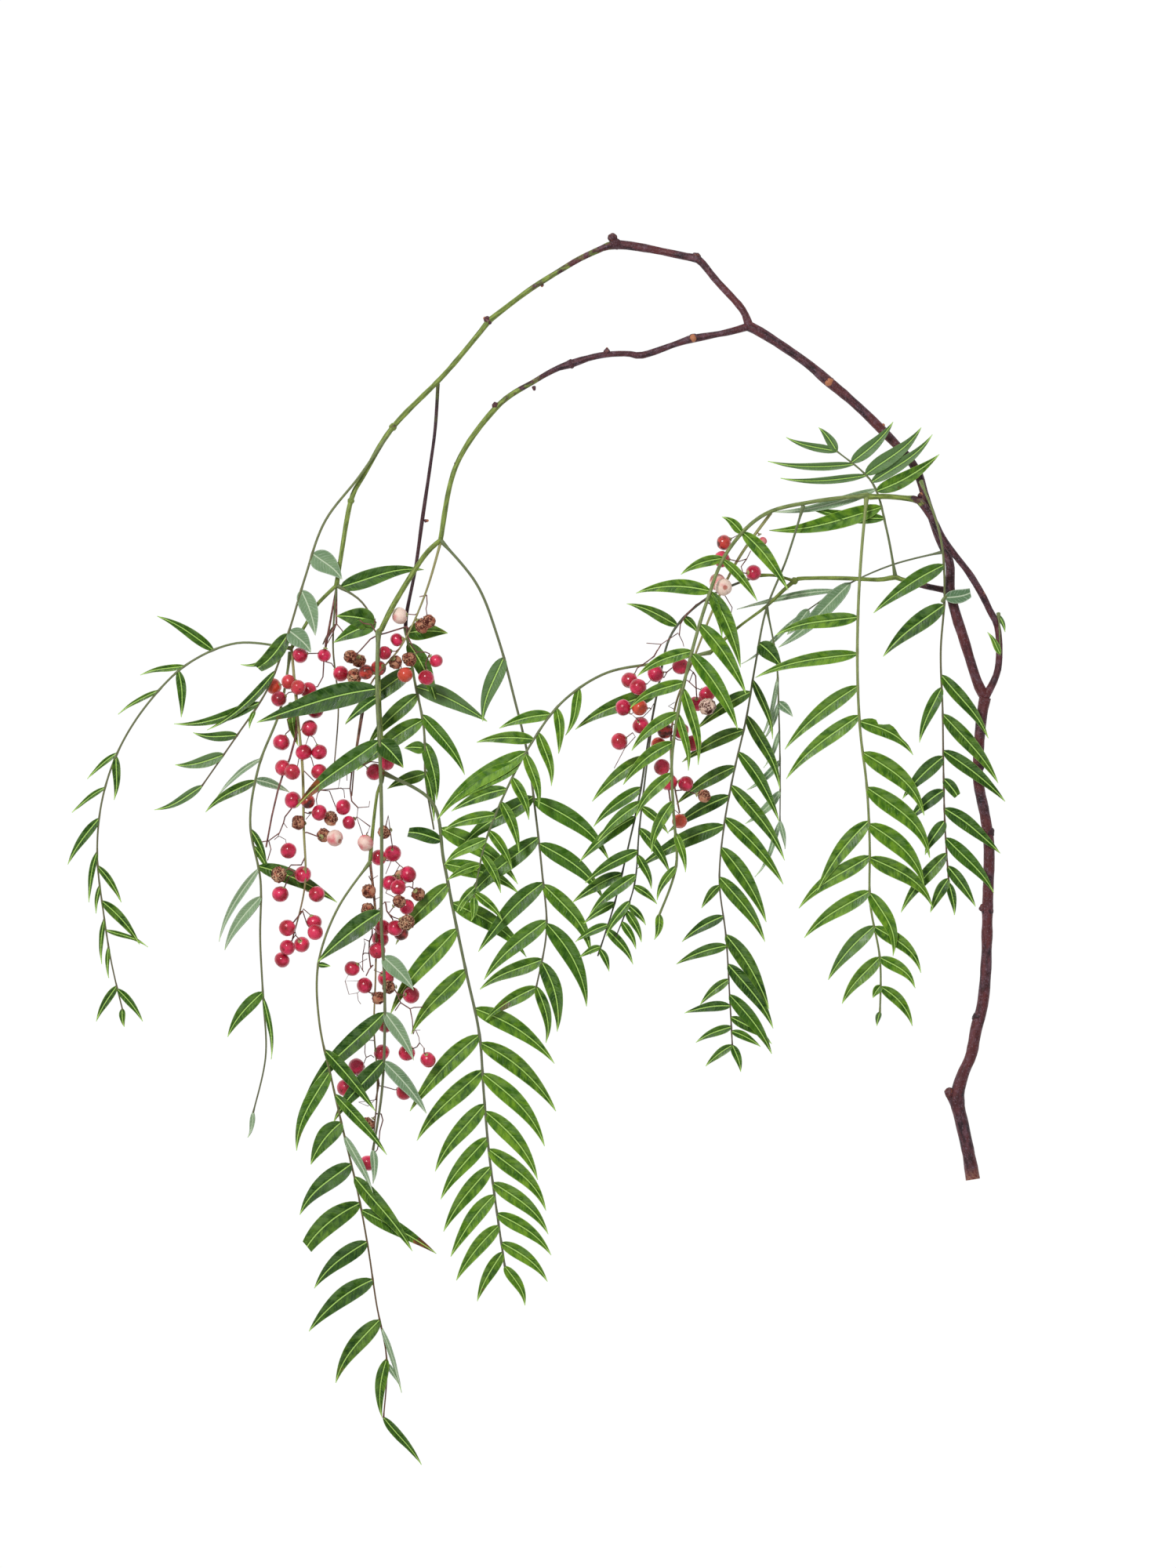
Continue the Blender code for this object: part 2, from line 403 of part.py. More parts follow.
            (118, 134, 137, 150, 5.4), (120, 131, 141, 147.5, 4.3), (121.5, 127.5, 143.5, 140.5, 5.4),
            (122, 121.5, 83, 113.5, 6.2), (123, 117.5, 96, 122, 4.3),
        ],
        clears=["middle_twig"],
        bows=(0.045, 0.05),
    ),
    "tuft_pale_right": dict(
        stems=[(
            [(145.5, 106), (137, 104.5), (130, 102.5), (120, 98.5), (112, 95), (104, 90), (98, 86),
             (93, 82.5)],
            (11.5, 9, 7, 6, 5, 4.5),
        )],
        leaflets=[
            (112, 95, 86.5, 72, 5.8), (107, 92.5, 71.6, 85.5, 2.4), (97.5, 85, 89.5, 76.5, 4),
            (94.5, 83.5, 73.2, 66, 1.8),
        ],
        clears=["left_fork"],
        bows=(0.03, 0.03),
        backs=True,
    ),
}

# Each panicle: its stalk's points, its heights spread evenly along it, and where its berries hang
PANICLES = {
    "berries_left": dict(
        stalk=[(-87, 71), (-86.5, 66), (-86, 58), (-85, 50), (-84, 42), (-83.2, 34), (-83, 26),
               (-83.5, 18), (-82.8, 10), (-82, 2), (-82.6, -6), (-82.2, -14), (-83, -22), (-86, -28),
               (-87, -33)],
        heights=(12, 16.5, 18.5, 18.5, 18.5, 18, 17, 15.5, 14, 12),
        ripe=[(-84, 69), (-75.5, 69), (-69.5, 62.5), (-88, 59.5), (-84.5, 57.5), (-81, 56.5),
              (-91.5, 53.5), (-78.5, 49.5), (-80.5, 43), (-90.5, 38), (-82.5, 34.5), (-77, 34.5),
              (-90, 29), (-86.5, 27.5), (-77, 27.5), (-86.5, 17.5), (-77, 13), (-88, -0.5), (-83, -9),
              (-91, -16), (-78, -16), (-88.5, -28), (-79, -26), (-78.5, -29.5), (-88.5, -35),
              (-83.5, -34), (-90.5, -39.5)],
        pale=[(-93.5, 58), (-71.5, 4), (-73, 11), (-91.5, -9)],
        dried=[(-81, 17), (-84.5, 9.5), (-75.5, 5)],
        clears=["outer_twig", "frond_left_hanging", "frond_far_left"],
    ),
    "berries_upper": dict(
        stalk=[(-34, 109), (-34, 103), (-36, 97), (-39.5, 90.5), (-42, 84), (-45, 77), (-49, 71),
               (-54, 67), (-58, 62), (-60.5, 53), (-62.5, 44), (-64.5, 34), (-66, 26), (-65.5, 19)],
        heights=(14, 16, 17, 17.5, 17.5, 17.5, 17.5, 17.5, 17.5),
        ripe=[(-49.5, 74.5), (-53.8, 69.8), (-46.5, 62), (-39, 61), (-35.5, 67), (-53, 31), (-57.5, 27.5),
              (-68.5, 15), (-66.5, 9.5)],
        pale=[(-48.5, 83), (-64.5, 61.5)],
        dried=[(-40.5, 79.5), (-38, 81), (-66, 68.5), (-63, 67), (-60.5, 63), (-56, 64.5), (-50, 66.5),
               (-45, 67.5)],
        clears=["inner_arch", "inner_twig", "frond_centre"],
    ),
    "berries_middle": dict(
        stalk=[(-59, -5), (-58, -12), (-57, -22), (-57.5, -35), (-57, -48), (-57.5, -60), (-58, -72),
               (-56.5, -82), (-57.5, -92), (-58, -103)],
        heights=(14, 13.5, 13, 12, 11, 10, 9, 8),
        ripe=[(-51, -1.5), (-56, -3), (-45.5, -9), (-52, -12), (-49, -13.5), (-46, -20.5), (-54.5, -28),
              (-50, -28), (-55.5, -32), (-56.5, -36), (-65.5, -42.5), (-61, -48.5), (-53.5, -46),
              (-44.5, -52), (-53.5, -62.5), (-55, -72.5), (-46, -72.5), (-38.5, -75), (-64, -77.5),
              (-68, -85), (-47, -86.5), (-60, -112)],
        pale=[(-48, -10), (-46, -26)],
        dried=[(-54, 6), (-42, -16), (-59.5, -15), (-48.5, -18.5), (-60, -21.5), (-48, -30), (-52.5, -49),
               (-56, -53), (-60, -98)],
        clears=["hanging_stem", "frond_low_left"],
    ),
    "berries_right": dict(
        stalk=[(83.5, 119.5), (79, 113), (74, 107), (70, 99), (65, 90), (61, 80), (57, 70), (52, 60),
               (50, 52), (47, 45), (48, 36), (48, 28), (50, 20), (51, 13)],
        heights=(21, 21, 22, 24, 25, 25.5, 26, 26, 25.5, 25),
        ripe=[(66, 103), (77.3, 98.3), (51.3, 65), (42.5, 62.4), (33.2, 60), (36.2, 57.6), (60.7, 55),
              (57, 51.7), (31, 50.3), (37.2, 44), (51.6, 42), (29.6, 38.3), (55.7, 37.7), (44.7, 29.2),
              (47.3, 23.8), (53.2, 23.3)],
        pale=[(64.5, 95), (66.6, 93), (60.7, 50.6), (36.8, 50.3), (43.6, 37), (51, 10)],
        dried=[(66.8, 109), (80.6, 109.5), (45.8, 42), (59.7, 19)],
        clears=["frond_front_right"],
    ),
}


def clear_scene():
    for item in list(bpy.data.objects):
        bpy.data.objects.remove(item, do_unlink=True)


def collection(name, hidden=False):
    made = bpy.data.collections.new(name)
    bpy.context.scene.collection.children.link(made)
    made.hide_render = hidden
    return made


def material(name, colour, roughness):
    made = bpy.data.materials.new(name)
    made.use_nodes = True
    shader = made.node_tree.nodes["Principled BSDF"]
    shader.inputs["Base Color"].default_value = (*colour, 1)
    shader.inputs["Roughness"].default_value = roughness
    shader.inputs["Metallic"].default_value = 0
    made.diffuse_color = (*colour, 1)
    return made


def mesh_object(name, mesh, where):
    made = bpy.data.objects.new(name, mesh)
    where.objects.link(made)
    return made


def lengths_along(points):
    total = [0.0]
    for near, far in zip(points, points[1:]):
        total.append(total[-1] + (far - near).length)
    return total


def between(values, share):
    """The value at a share from 0 to 1 of a list of evenly spread values."""
    place = share * (len(values) - 1)
    index = min(int(place), len(values) - 2)
    return values[index] + (values[index + 1] - values[index]) * (place - index)


def smooth_through(points, step):
    """Points about a step apart on a smooth curve through the given ones."""
    dense = []
    last = len(points) - 1
    for index in range(last):
        before, near = points[max(index - 1, 0)], points[index]
        far, after = points[index + 1], points[min(index + 2, last)]
        for part in range(8):
            share = part / 8
            bend = (far - before) * share + (2 * before - 5 * near + 4 * far - after) * share**2
            dense.append(near + 0.5 * (bend + (3 * near - before - 3 * far + after) * share**3))
    dense.append(points[-1])
    along = lengths_along([point.to_3d() for point in dense])
    count = max(2, round(along[-1] / step))
    route = []
    for index in range(count + 1):
        wanted = along[-1] * index / count
        place = max(i for i, length in enumerate(along) if length <= wanted + 1e-9)
        place = min(place, len(dense) - 2)
        share = (wanted - along[place]) / max(along[place + 1] - along[place], 1e-9)
        route.append(dense[place].lerp(dense[place + 1], min(share, 1)))
    return route


def stem_route(points, heights, step=STEM_STEP):
    flat = smooth_through([Vector((x * MM, y * MM, 0)) for x, y in points], step)
    along = lengths_along(flat)
    return [
        Vector((point.x, point.y, between(heights, length / along[-1]) * MM))
        for point, length in zip(flat, along)
    ]


def limb_route(limb):
    """Centres and radii along one limb."""
    return [Vector(point[:3]) * MM for point in limb], [point[3] * MM for point in limb]


def tube(name, route, radii, sides_level, where):
    """A closed tube along a route, with a radius at each point."""
    curve = bpy.data.curves.new(name, "CURVE")
    curve.dimensions = "3D"
    curve.bevel_depth = 1.0
    curve.bevel_resolution = sides_level
    curve.use_fill_caps = True
    curve.twist_mode = "Z_UP"
    spline = curve.splines.new("POLY")
    spline.points.add(len(route) - 1)
    for point, place, radius in zip(spline.points, route, radii):
        point.co = (*place, 1)
        point.radius = radius
        point.tilt = math.radians(45) if sides_level == 0 else 0
    guide = mesh_object(name + "_guide", curve, where)
    bpy.context.view_layer.update()
    graph = bpy.context.evaluated_depsgraph_get()
    mesh = bpy.data.meshes.new_from_object(guide.evaluated_get(graph))
    bpy.data.objects.remove(guide, do_unlink=True)
    build = bmesh.new()
    build.from_mesh(mesh)
    bmesh.ops.remove_doubles(build, verts=build.verts, dist=1e-6)
    bmesh.ops.recalc_face_normals(build, faces=build.faces)
    build.to_mesh(mesh)
    build.free()
    return mesh_object(name, mesh, where)


def half_width(share):
    """A leaflet's half width for its widest, from its root at 0 to its tip at 1."""
    return math.sin(math.pi * share**0.65) ** 0.85 * (1.09 - 0.3 * share)


def bow_out(share):
    """How far along its bow a midrib has swung out, most of all a little past the middle."""
    return 4 * share * (1 - share) * (0.7 + 0.6 * share)


def blade(name, root, tip, width, bows, along_stem, draw, where):
    """A lance-shaped leaflet, widest a third of the way along, whose tip curves towards the stem's tip."""
    line = tip - root
    length = line.length
    forward = line.normalized()
    side = Vector((0, 0, 1)).cross(forward).normalized()
    outward = side if side.dot(along_stem) < 0 else -side
    bow = bows[0] if tip.x < root.x else bows[1]
    roll = draw.uniform(-BLADE_ROLL, BLADE_ROLL)
    across = side * math.cos(roll) + Vector((0, 0, 1)) * math.sin(roll)
    shares = (0, 0.16, 0.42, 0.74, 1) if length > LONG_BLADE else (0, 0.24, 0.66, 1)
    build = bmesh.new()
    bmesh.ops.create_grid(build, x_segments=len(shares) - 1, y_segments=1, size=1)
    build.verts.ensure_lookup_table()
    for vertex in build.verts:
        share = shares[round((vertex.co.x + 1) / 2 * (len(shares) - 1))]
        centre = root + line * share + outward * length * bow * bow_out(share)
        centre.z -= BLADE_THICKNESS / 2
        reach = 0 if share in (0, 1) else half_width(share) * width / 2
        vertex.co = centre + across * reach * vertex.co.y
    bmesh.ops.remove_doubles(build, verts=build.verts, dist=1e-6)
    bmesh.ops.triangulate(build, faces=build.faces)
    sheet = build.faces[:]
    bmesh.ops.recalc_face_normals(build, faces=sheet)
    if sheet[0].normal.z > 0:
        bmesh.ops.reverse_faces(build, faces=sheet)
    bmesh.ops.solidify(build, geom=sheet, thickness=BLADE_THICKNESS)
    bmesh.ops.recalc_face_normals(build, faces=build.faces)
    mesh = bpy.data.meshes.new(name)
    build.to_mesh(mesh)
    build.free()
    return mesh_object(name, mesh, where)


def usual_width(length):
    return min(1.6 * MM + 0.185 * length, 7.6 * MM)


def nearest_on(routes, x, y):
    """The point of the routes nearest to x, y seen from above, and the stem's direction there."""
    best = None
    for route in routes:
        for near, far in zip(route, route[1:]):
            run = far - near
            flat = run.to_2d()
            share = (Vector((x, y)) - near.to_2d()).dot(flat) / flat.length_squared
            point = near + run * max(0.0, min(1.0, share))
            away = (point.to_2d() - Vector((x, y))).length
            if best is None or away < best[0]:
                best = (away, point, run.normalized())
    return best[1], best[2]


def fused(name, base, others, finish):
    """One closed body of the base and every piece in the collection of the others."""
    joint = base.modifiers.new("join", "BOOLEAN")
    joint.operation = "UNION"
    joint.operand_type = "COLLECTION"
    joint.collection = others
    joint.solver = "MANIFOLD"
    bpy.context.view_layer.update()
    graph = bpy.context.evaluated_depsgraph_get()
    mesh = bpy.data.meshes.new_from_object(base.evaluated_get(graph))
    for piece in list(others.objects):
        bpy.data.objects.remove(piece, do_unlink=True)
    bpy.data.collections.remove(others)
    bpy.data.objects.remove(base, do_unlink=True)
    mesh.materials.clear()
    mesh.materials.append(finish)
    made = mesh_object(name, mesh, sprig)
    mesh.name = name
    return made


def trimmed(piece, cutters):
    """The piece with room cut for the stems that it grows from."""
    for cutter in cutters:
        cut = piece.modifiers.new("room", "BOOLEAN")
        cut.operation = "DIFFERENCE"
        cut.object = cutter
        cut.solver = "MANIFOLD"


def taper(first, last, count):
    return [(first + (last - first) * index / (count - 1)) * MM for index in range(count)]


def room_for(name, route, radii):
    """A cutter a little fatter and longer than a stem."""
    start = route[0] + (route[0] - route[1]).normalized() * CLEARANCE
    end = route[-1] + (route[-1] - route[-2]).normalized() * CLEARANCE
    fatter = [radius + CLEARANCE for radius in radii]
    return tube(name + "_room", [start, *route[1:-1], end], fatter, 1, cutters)


def make_branch(finish):
    pieces = collection("branch_pieces")
    base = None
    for name, limb in LIMBS.items():
        route, radii = limb_route(limb)
        piece = tube(name, route, radii, 2 if name == "main" else 1, pieces)
        rooms[name] = room_for(name, route, radii)
        if base is None:
            base = piece
            pieces.objects.unlink(base)
            bpy.context.scene.collection.objects.link(base)
    for x, y, height, radius in KNOTS:
        knot = bmesh.new()
        place = Matrix.Translation(Vector((x, y, height)) * MM)
        bmesh.ops.create_icosphere(knot, subdivisions=1, radius=radius * MM, matrix=place)
        mesh = bpy.data.meshes.new("knot")
        knot.to_mesh(mesh)
        knot.free()
        mesh_object("knot", mesh, pieces)
    branch = fused("branch", base, pieces, finish)
    bpy.ops.mesh.primitive_cube_add(size=1, location=(0, 0, -FLOOR_DEPTH / 2))
    floor = bpy.context.active_object
    floor.name = "resting_plane"
    floor.scale = (FLOOR_SPAN, FLOOR_SPAN, FLOOR_DEPTH)
    for holder in list(floor.users_collection):
        holder.objects.unlink(floor)
    cutters.objects.link(floor)
    trimmed(branch, [floor])


def make_frond(name, frond, finish, draw):
    pieces = collection(name + "_pieces")
    routes = [stem_route(points, heights) for points, heights in frond["stems"]]
    base = None
    for index, route in enumerate(routes):
        radii = taper(0.85 if index == 0 else 0.7, 0.65, len(route))
        piece = tube(f"{name}_stem", route, radii, 0, pieces)
        if base is None:
            base = piece
            pieces.objects.unlink(base)
            bpy.context.scene.collection.objects.link(base)
            rooms[name] = room_for(name, route, radii)
    for x, y, tip_x, tip_y, *width in frond["leaflets"]:
        root, along = nearest_on(routes, x * MM, y * MM)
        tip = Vector((tip_x * MM, tip_y * MM, 0))
        length = (tip - root).to_2d().length
        tip.z = max(root.z - BLADE_DROOP * length, BLADE_THICKNESS / 2)
        root -= (tip - root).normalized() * ROOT_DEPTH
        wide = width[0] * MM if width else usual_width(length) * frond.get("slim", 1)
        blade("leaflet", root, tip, wide, frond.get("bows", BLADE_BOWS), along, draw, pieces)
    piece = fused(name, base, pieces, finish)
    trimmed(piece, [rooms[other] for other in frond["clears"]])
    return piece


def berry_places(panicle, stalk, draw):
    """Berry centres, without those that would crowd the ones before them."""
    places = []
    for kind in ("ripe", "pale", "dried"):
        for x, y in panicle[kind]:
            near, _ = nearest_on([stalk], x * MM, y * MM)
            place = Vector((x * MM, y * MM, near.z + draw.uniform(-BERRY_LIFT, BERRY_LIFT)))
            if all((place - other).length > BERRY_GAP for other in places):
                places.append(place)
    return places


def make_panicle(name, panicle, finish, draw):
    pieces = collection(name + "_pieces")
    stalk = stem_route(panicle["stalk"], panicle["heights"])
    radii = taper(0.75, 0.68, len(stalk))
    base = tube(name + "_stalk", stalk, radii, 0, pieces)
    pieces.objects.unlink(base)
    bpy.context.scene.collection.objects.link(base)
    rooms[name] = room_for(name, stalk, radii)
    holds = [point for point in smooth_through(stalk, 4 * MM) if (point - stalk[0]).length > HOLD_START]
    places = berry_places(panicle, stalk, draw)
    for place in sorted(places, key=lambda place: (nearest_on([stalk], place.x, place.y)[0] - place).length):
        hold = min(holds, key=lambda point: (point - place).length + 1.5 * max(0, place.y - point.y))
        run = hold - place
        turn = run.to_track_quat("Z", "Y").to_matrix().to_4x4()
        build = bmesh.new()
        middle = Matrix.Translation((hold + place) / 2) @ turn
        bmesh.ops.create_cone(
            build, cap_ends=True, segments=3, radius1=PEDICEL_RADIUS, radius2=PEDICEL_RADIUS,
            depth=run.length, matrix=middle,
        )
        mesh = bpy.data.meshes.new("pedicel")
        build.to_mesh(mesh)
        build.free()
        mesh_object("pedicel", mesh, pieces)
        build = bmesh.new()
        bmesh.ops.create_icosphere(build, subdivisions=1, radius=BERRY_RADIUS * FACET_SWELL)
        build.faces.ensure_lookup_table()
        face_up = build.faces[0].normal.rotation_difference(Vector((0, 0, 1))).to_matrix().to_4x4()
        bmesh.ops.transform(build, matrix=Matrix.Translation(place) @ turn @ face_up, verts=build.verts)
        mesh = bpy.data.meshes.new("berry")
        build.to_mesh(mesh)
        build.free()
        mesh_object("berry", mesh, pieces)
        holds.append((hold * 2 + place) / 3)
    piece = fused(name, base, pieces, finish)
    trimmed(piece, [rooms[other] for other in panicle["clears"]])
    return piece


clear_scene()
sprig = collection("pink_peppercorn_sprig")
cutters = collection("cutters", hidden=True)
rooms = {}
draw = random.Random(SEED)
make_branch(material("bark", BARK, 0.75))
leaf = material("leaf", LEAF, 0.5)
leaf_back = material("leaf_back", LEAF_BACK, 0.6)
berry = material("berry", BERRY, 0.3)
for frond_name, frond_parts in FRONDS.items():
    make_frond(frond_name, frond_parts, leaf_back if frond_parts.get("backs") else leaf, draw)
for panicle_name, panicle_parts in PANICLES.items():
    make_panicle(panicle_name, panicle_parts, berry, draw)
for cutter in cutters.objects:
    cutter.hide_render = True
    cutter.display_type = "WIRE"
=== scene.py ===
import math
import random

import bmesh
import bpy
from mathutils import Matrix, Vector, noise


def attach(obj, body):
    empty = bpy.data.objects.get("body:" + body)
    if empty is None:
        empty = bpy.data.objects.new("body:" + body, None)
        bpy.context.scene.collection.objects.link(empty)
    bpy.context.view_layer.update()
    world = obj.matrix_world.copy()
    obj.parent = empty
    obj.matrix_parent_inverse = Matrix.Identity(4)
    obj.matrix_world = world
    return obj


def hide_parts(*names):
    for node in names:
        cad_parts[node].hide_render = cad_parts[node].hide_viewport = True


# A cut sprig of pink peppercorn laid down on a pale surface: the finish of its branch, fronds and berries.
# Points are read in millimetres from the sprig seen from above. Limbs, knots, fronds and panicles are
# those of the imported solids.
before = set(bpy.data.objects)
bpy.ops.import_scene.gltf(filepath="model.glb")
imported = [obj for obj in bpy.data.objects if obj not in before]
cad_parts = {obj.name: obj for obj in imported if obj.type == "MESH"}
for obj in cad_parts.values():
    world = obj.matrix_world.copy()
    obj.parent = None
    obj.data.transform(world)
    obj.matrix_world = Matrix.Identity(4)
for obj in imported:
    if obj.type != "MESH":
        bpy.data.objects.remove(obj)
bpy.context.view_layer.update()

MM = 0.001
SEED = 11
LOOKS_SEED = 5
SHARP_ANGLE = math.radians(48)
CURVE_PARTS = 8
WELD = 2e-6

# The sprig's own build, as in the solids. Usual leaflets' widths: the least, the gain with length, the most.
BLADE_THICKNESS = 0.6 * MM
BLADE_DROOP = 0.03
BLADE_BOWS = (0.04, 0.05)
BLADE_ROLL = math.radians(7)
BLADE_WIDTHS = (1.6 * MM, 0.185, 7.6 * MM)
STEM_STEP = 20 * MM
BERRY_RADIUS = 3.0 * MM
BERRY_GAP = 5.9 * MM
BERRY_LIFT = 3.0 * MM
HOLD_START = 4 * MM
HOLD_STEP = 4 * MM

# Leaflets. Bites out of a margin: where they are on its length, how wide and how deep.
LEAF_THICKNESS = 0.34 * MM
LEAF_LENGTHWAYS = 16
LEAF_ACROSS = 6
LEAF_FOLD = 0.3
LEAF_FOLDS = (0.5, 1.25)
LEAF_ARCH = 0.012
LEAF_TWIST = math.radians(14)
LEAF_WAVE = 0.009
LEAF_LIGHTER = (-0.28, 0.22)
LEAF_FRESHER = (-0.25, 0.2)
LEAF_BITES = ((0.3, 0.07, 0.7), (0.72, 0.13, 0.6))
LEAF_LEAST_REACH = 0.05 * MM
RIPPLE = 0.14 * MM
RIPPLE_LENGTH = 7 * MM
FOOT_WIDTH = 0.3 * MM
RIB_DEPTH = 0.07 * MM
BLUNT_END = 0.66
VEIN_SLANT = 0.8
VEIN_GAP = 1.3

# Stems. Caps of a tube: how far they bulge and how wide they start. Dents of a limb: how fine and how deep.
FINE_STEP = 2.2 * MM
ROUND_CAP = (0.5, 0.7)
FLAT_CAP = (0.0, 0.8)
LIMB_SIDES = 14
TWIG_SIDES = 10
TWIG_RADIUS = 1.3 * MM
LIMB_DENTS = ((260, 0.09), (900, 0.05))
DARK_TWIG = -0.8
STALK_SIDES = 8
THREAD_SIDES = 6
STALK_RADII = (0.5, 0.3)
STALK_TAPER = 1.4
SIDE_STALK = 0.8
COLLAR_SWELL = 0.4
COLLAR_LENGTH = 3 * MM
FOOT_SWELL = 0.1
THREAD_RADIUS = 0.21 * MM
THREAD_START = 1.1
THREAD_TAPER = 0.35
THREAD_END = 0.8
MAP_ROUND = 6
KNOT_SIZE = 0.94
KNOB_ROUGH = 0.22
KNOB_DETAIL = 3
KNOB_SQUASH = 0.9
RING_SQUASH = 0.95
KNOT_LOOK = (0.9, 0.35)
RING_LOOK = (1, -1)
STUB_SHAPE = (1.1, 1.0, 0.92, 0.85, 0.8, 0.6)
CUT_END = (1, 1, 1, 0.5)

# Berries. Their shifts in height, in millimetres, are tried in turn where they are crowded. HANG makes a
# pedicel rather start above its berry in the photograph than below it.
BERRY_ROUND = 16
BERRY_TALL = 11
HANG = 1.5
POLE_START = 0.86
POLE_SPAN = 0.14
CUP_AT = 0.93
BERRY_SIZES = (0.93, 1.03)
BERRY_SHIFTS = (0, -4.2, 4.2, 7.5, -6.5)
CROWDED_GAP = BERRY_GAP - 0.4 * MM
CRACK_WIDTH = 0.22
CRACK_DEPTH = 0.14
CUP = dict(segments=7, radius1=0.35 * MM, radius2=0.95 * MM, depth=0.55 * MM)
SPRAY_RISE = 0.5
SPRAY_TOUCH = 0.2 * MM

# Camera: it looks straight down on the sprig, from where the photograph was taken
VIEW_CENTRE = (18.5 * MM, 23.2 * MM)
VIEW_TALL = 560 * MM
VIEW_HEIGHT = 4.0
SENSOR_TALL = 36.0

# Studio
FLOOR_HALF = 4.0
FLOOR_GLOW = 1.0
SKY_STRENGTH = 0.42
SOFT_LIGHTS = [("key", (-0.5, 0.65, 1.3), 0.3, 13.0), ("fill", (0.9, -0.5, 1.6), 1.2, 1.5)]

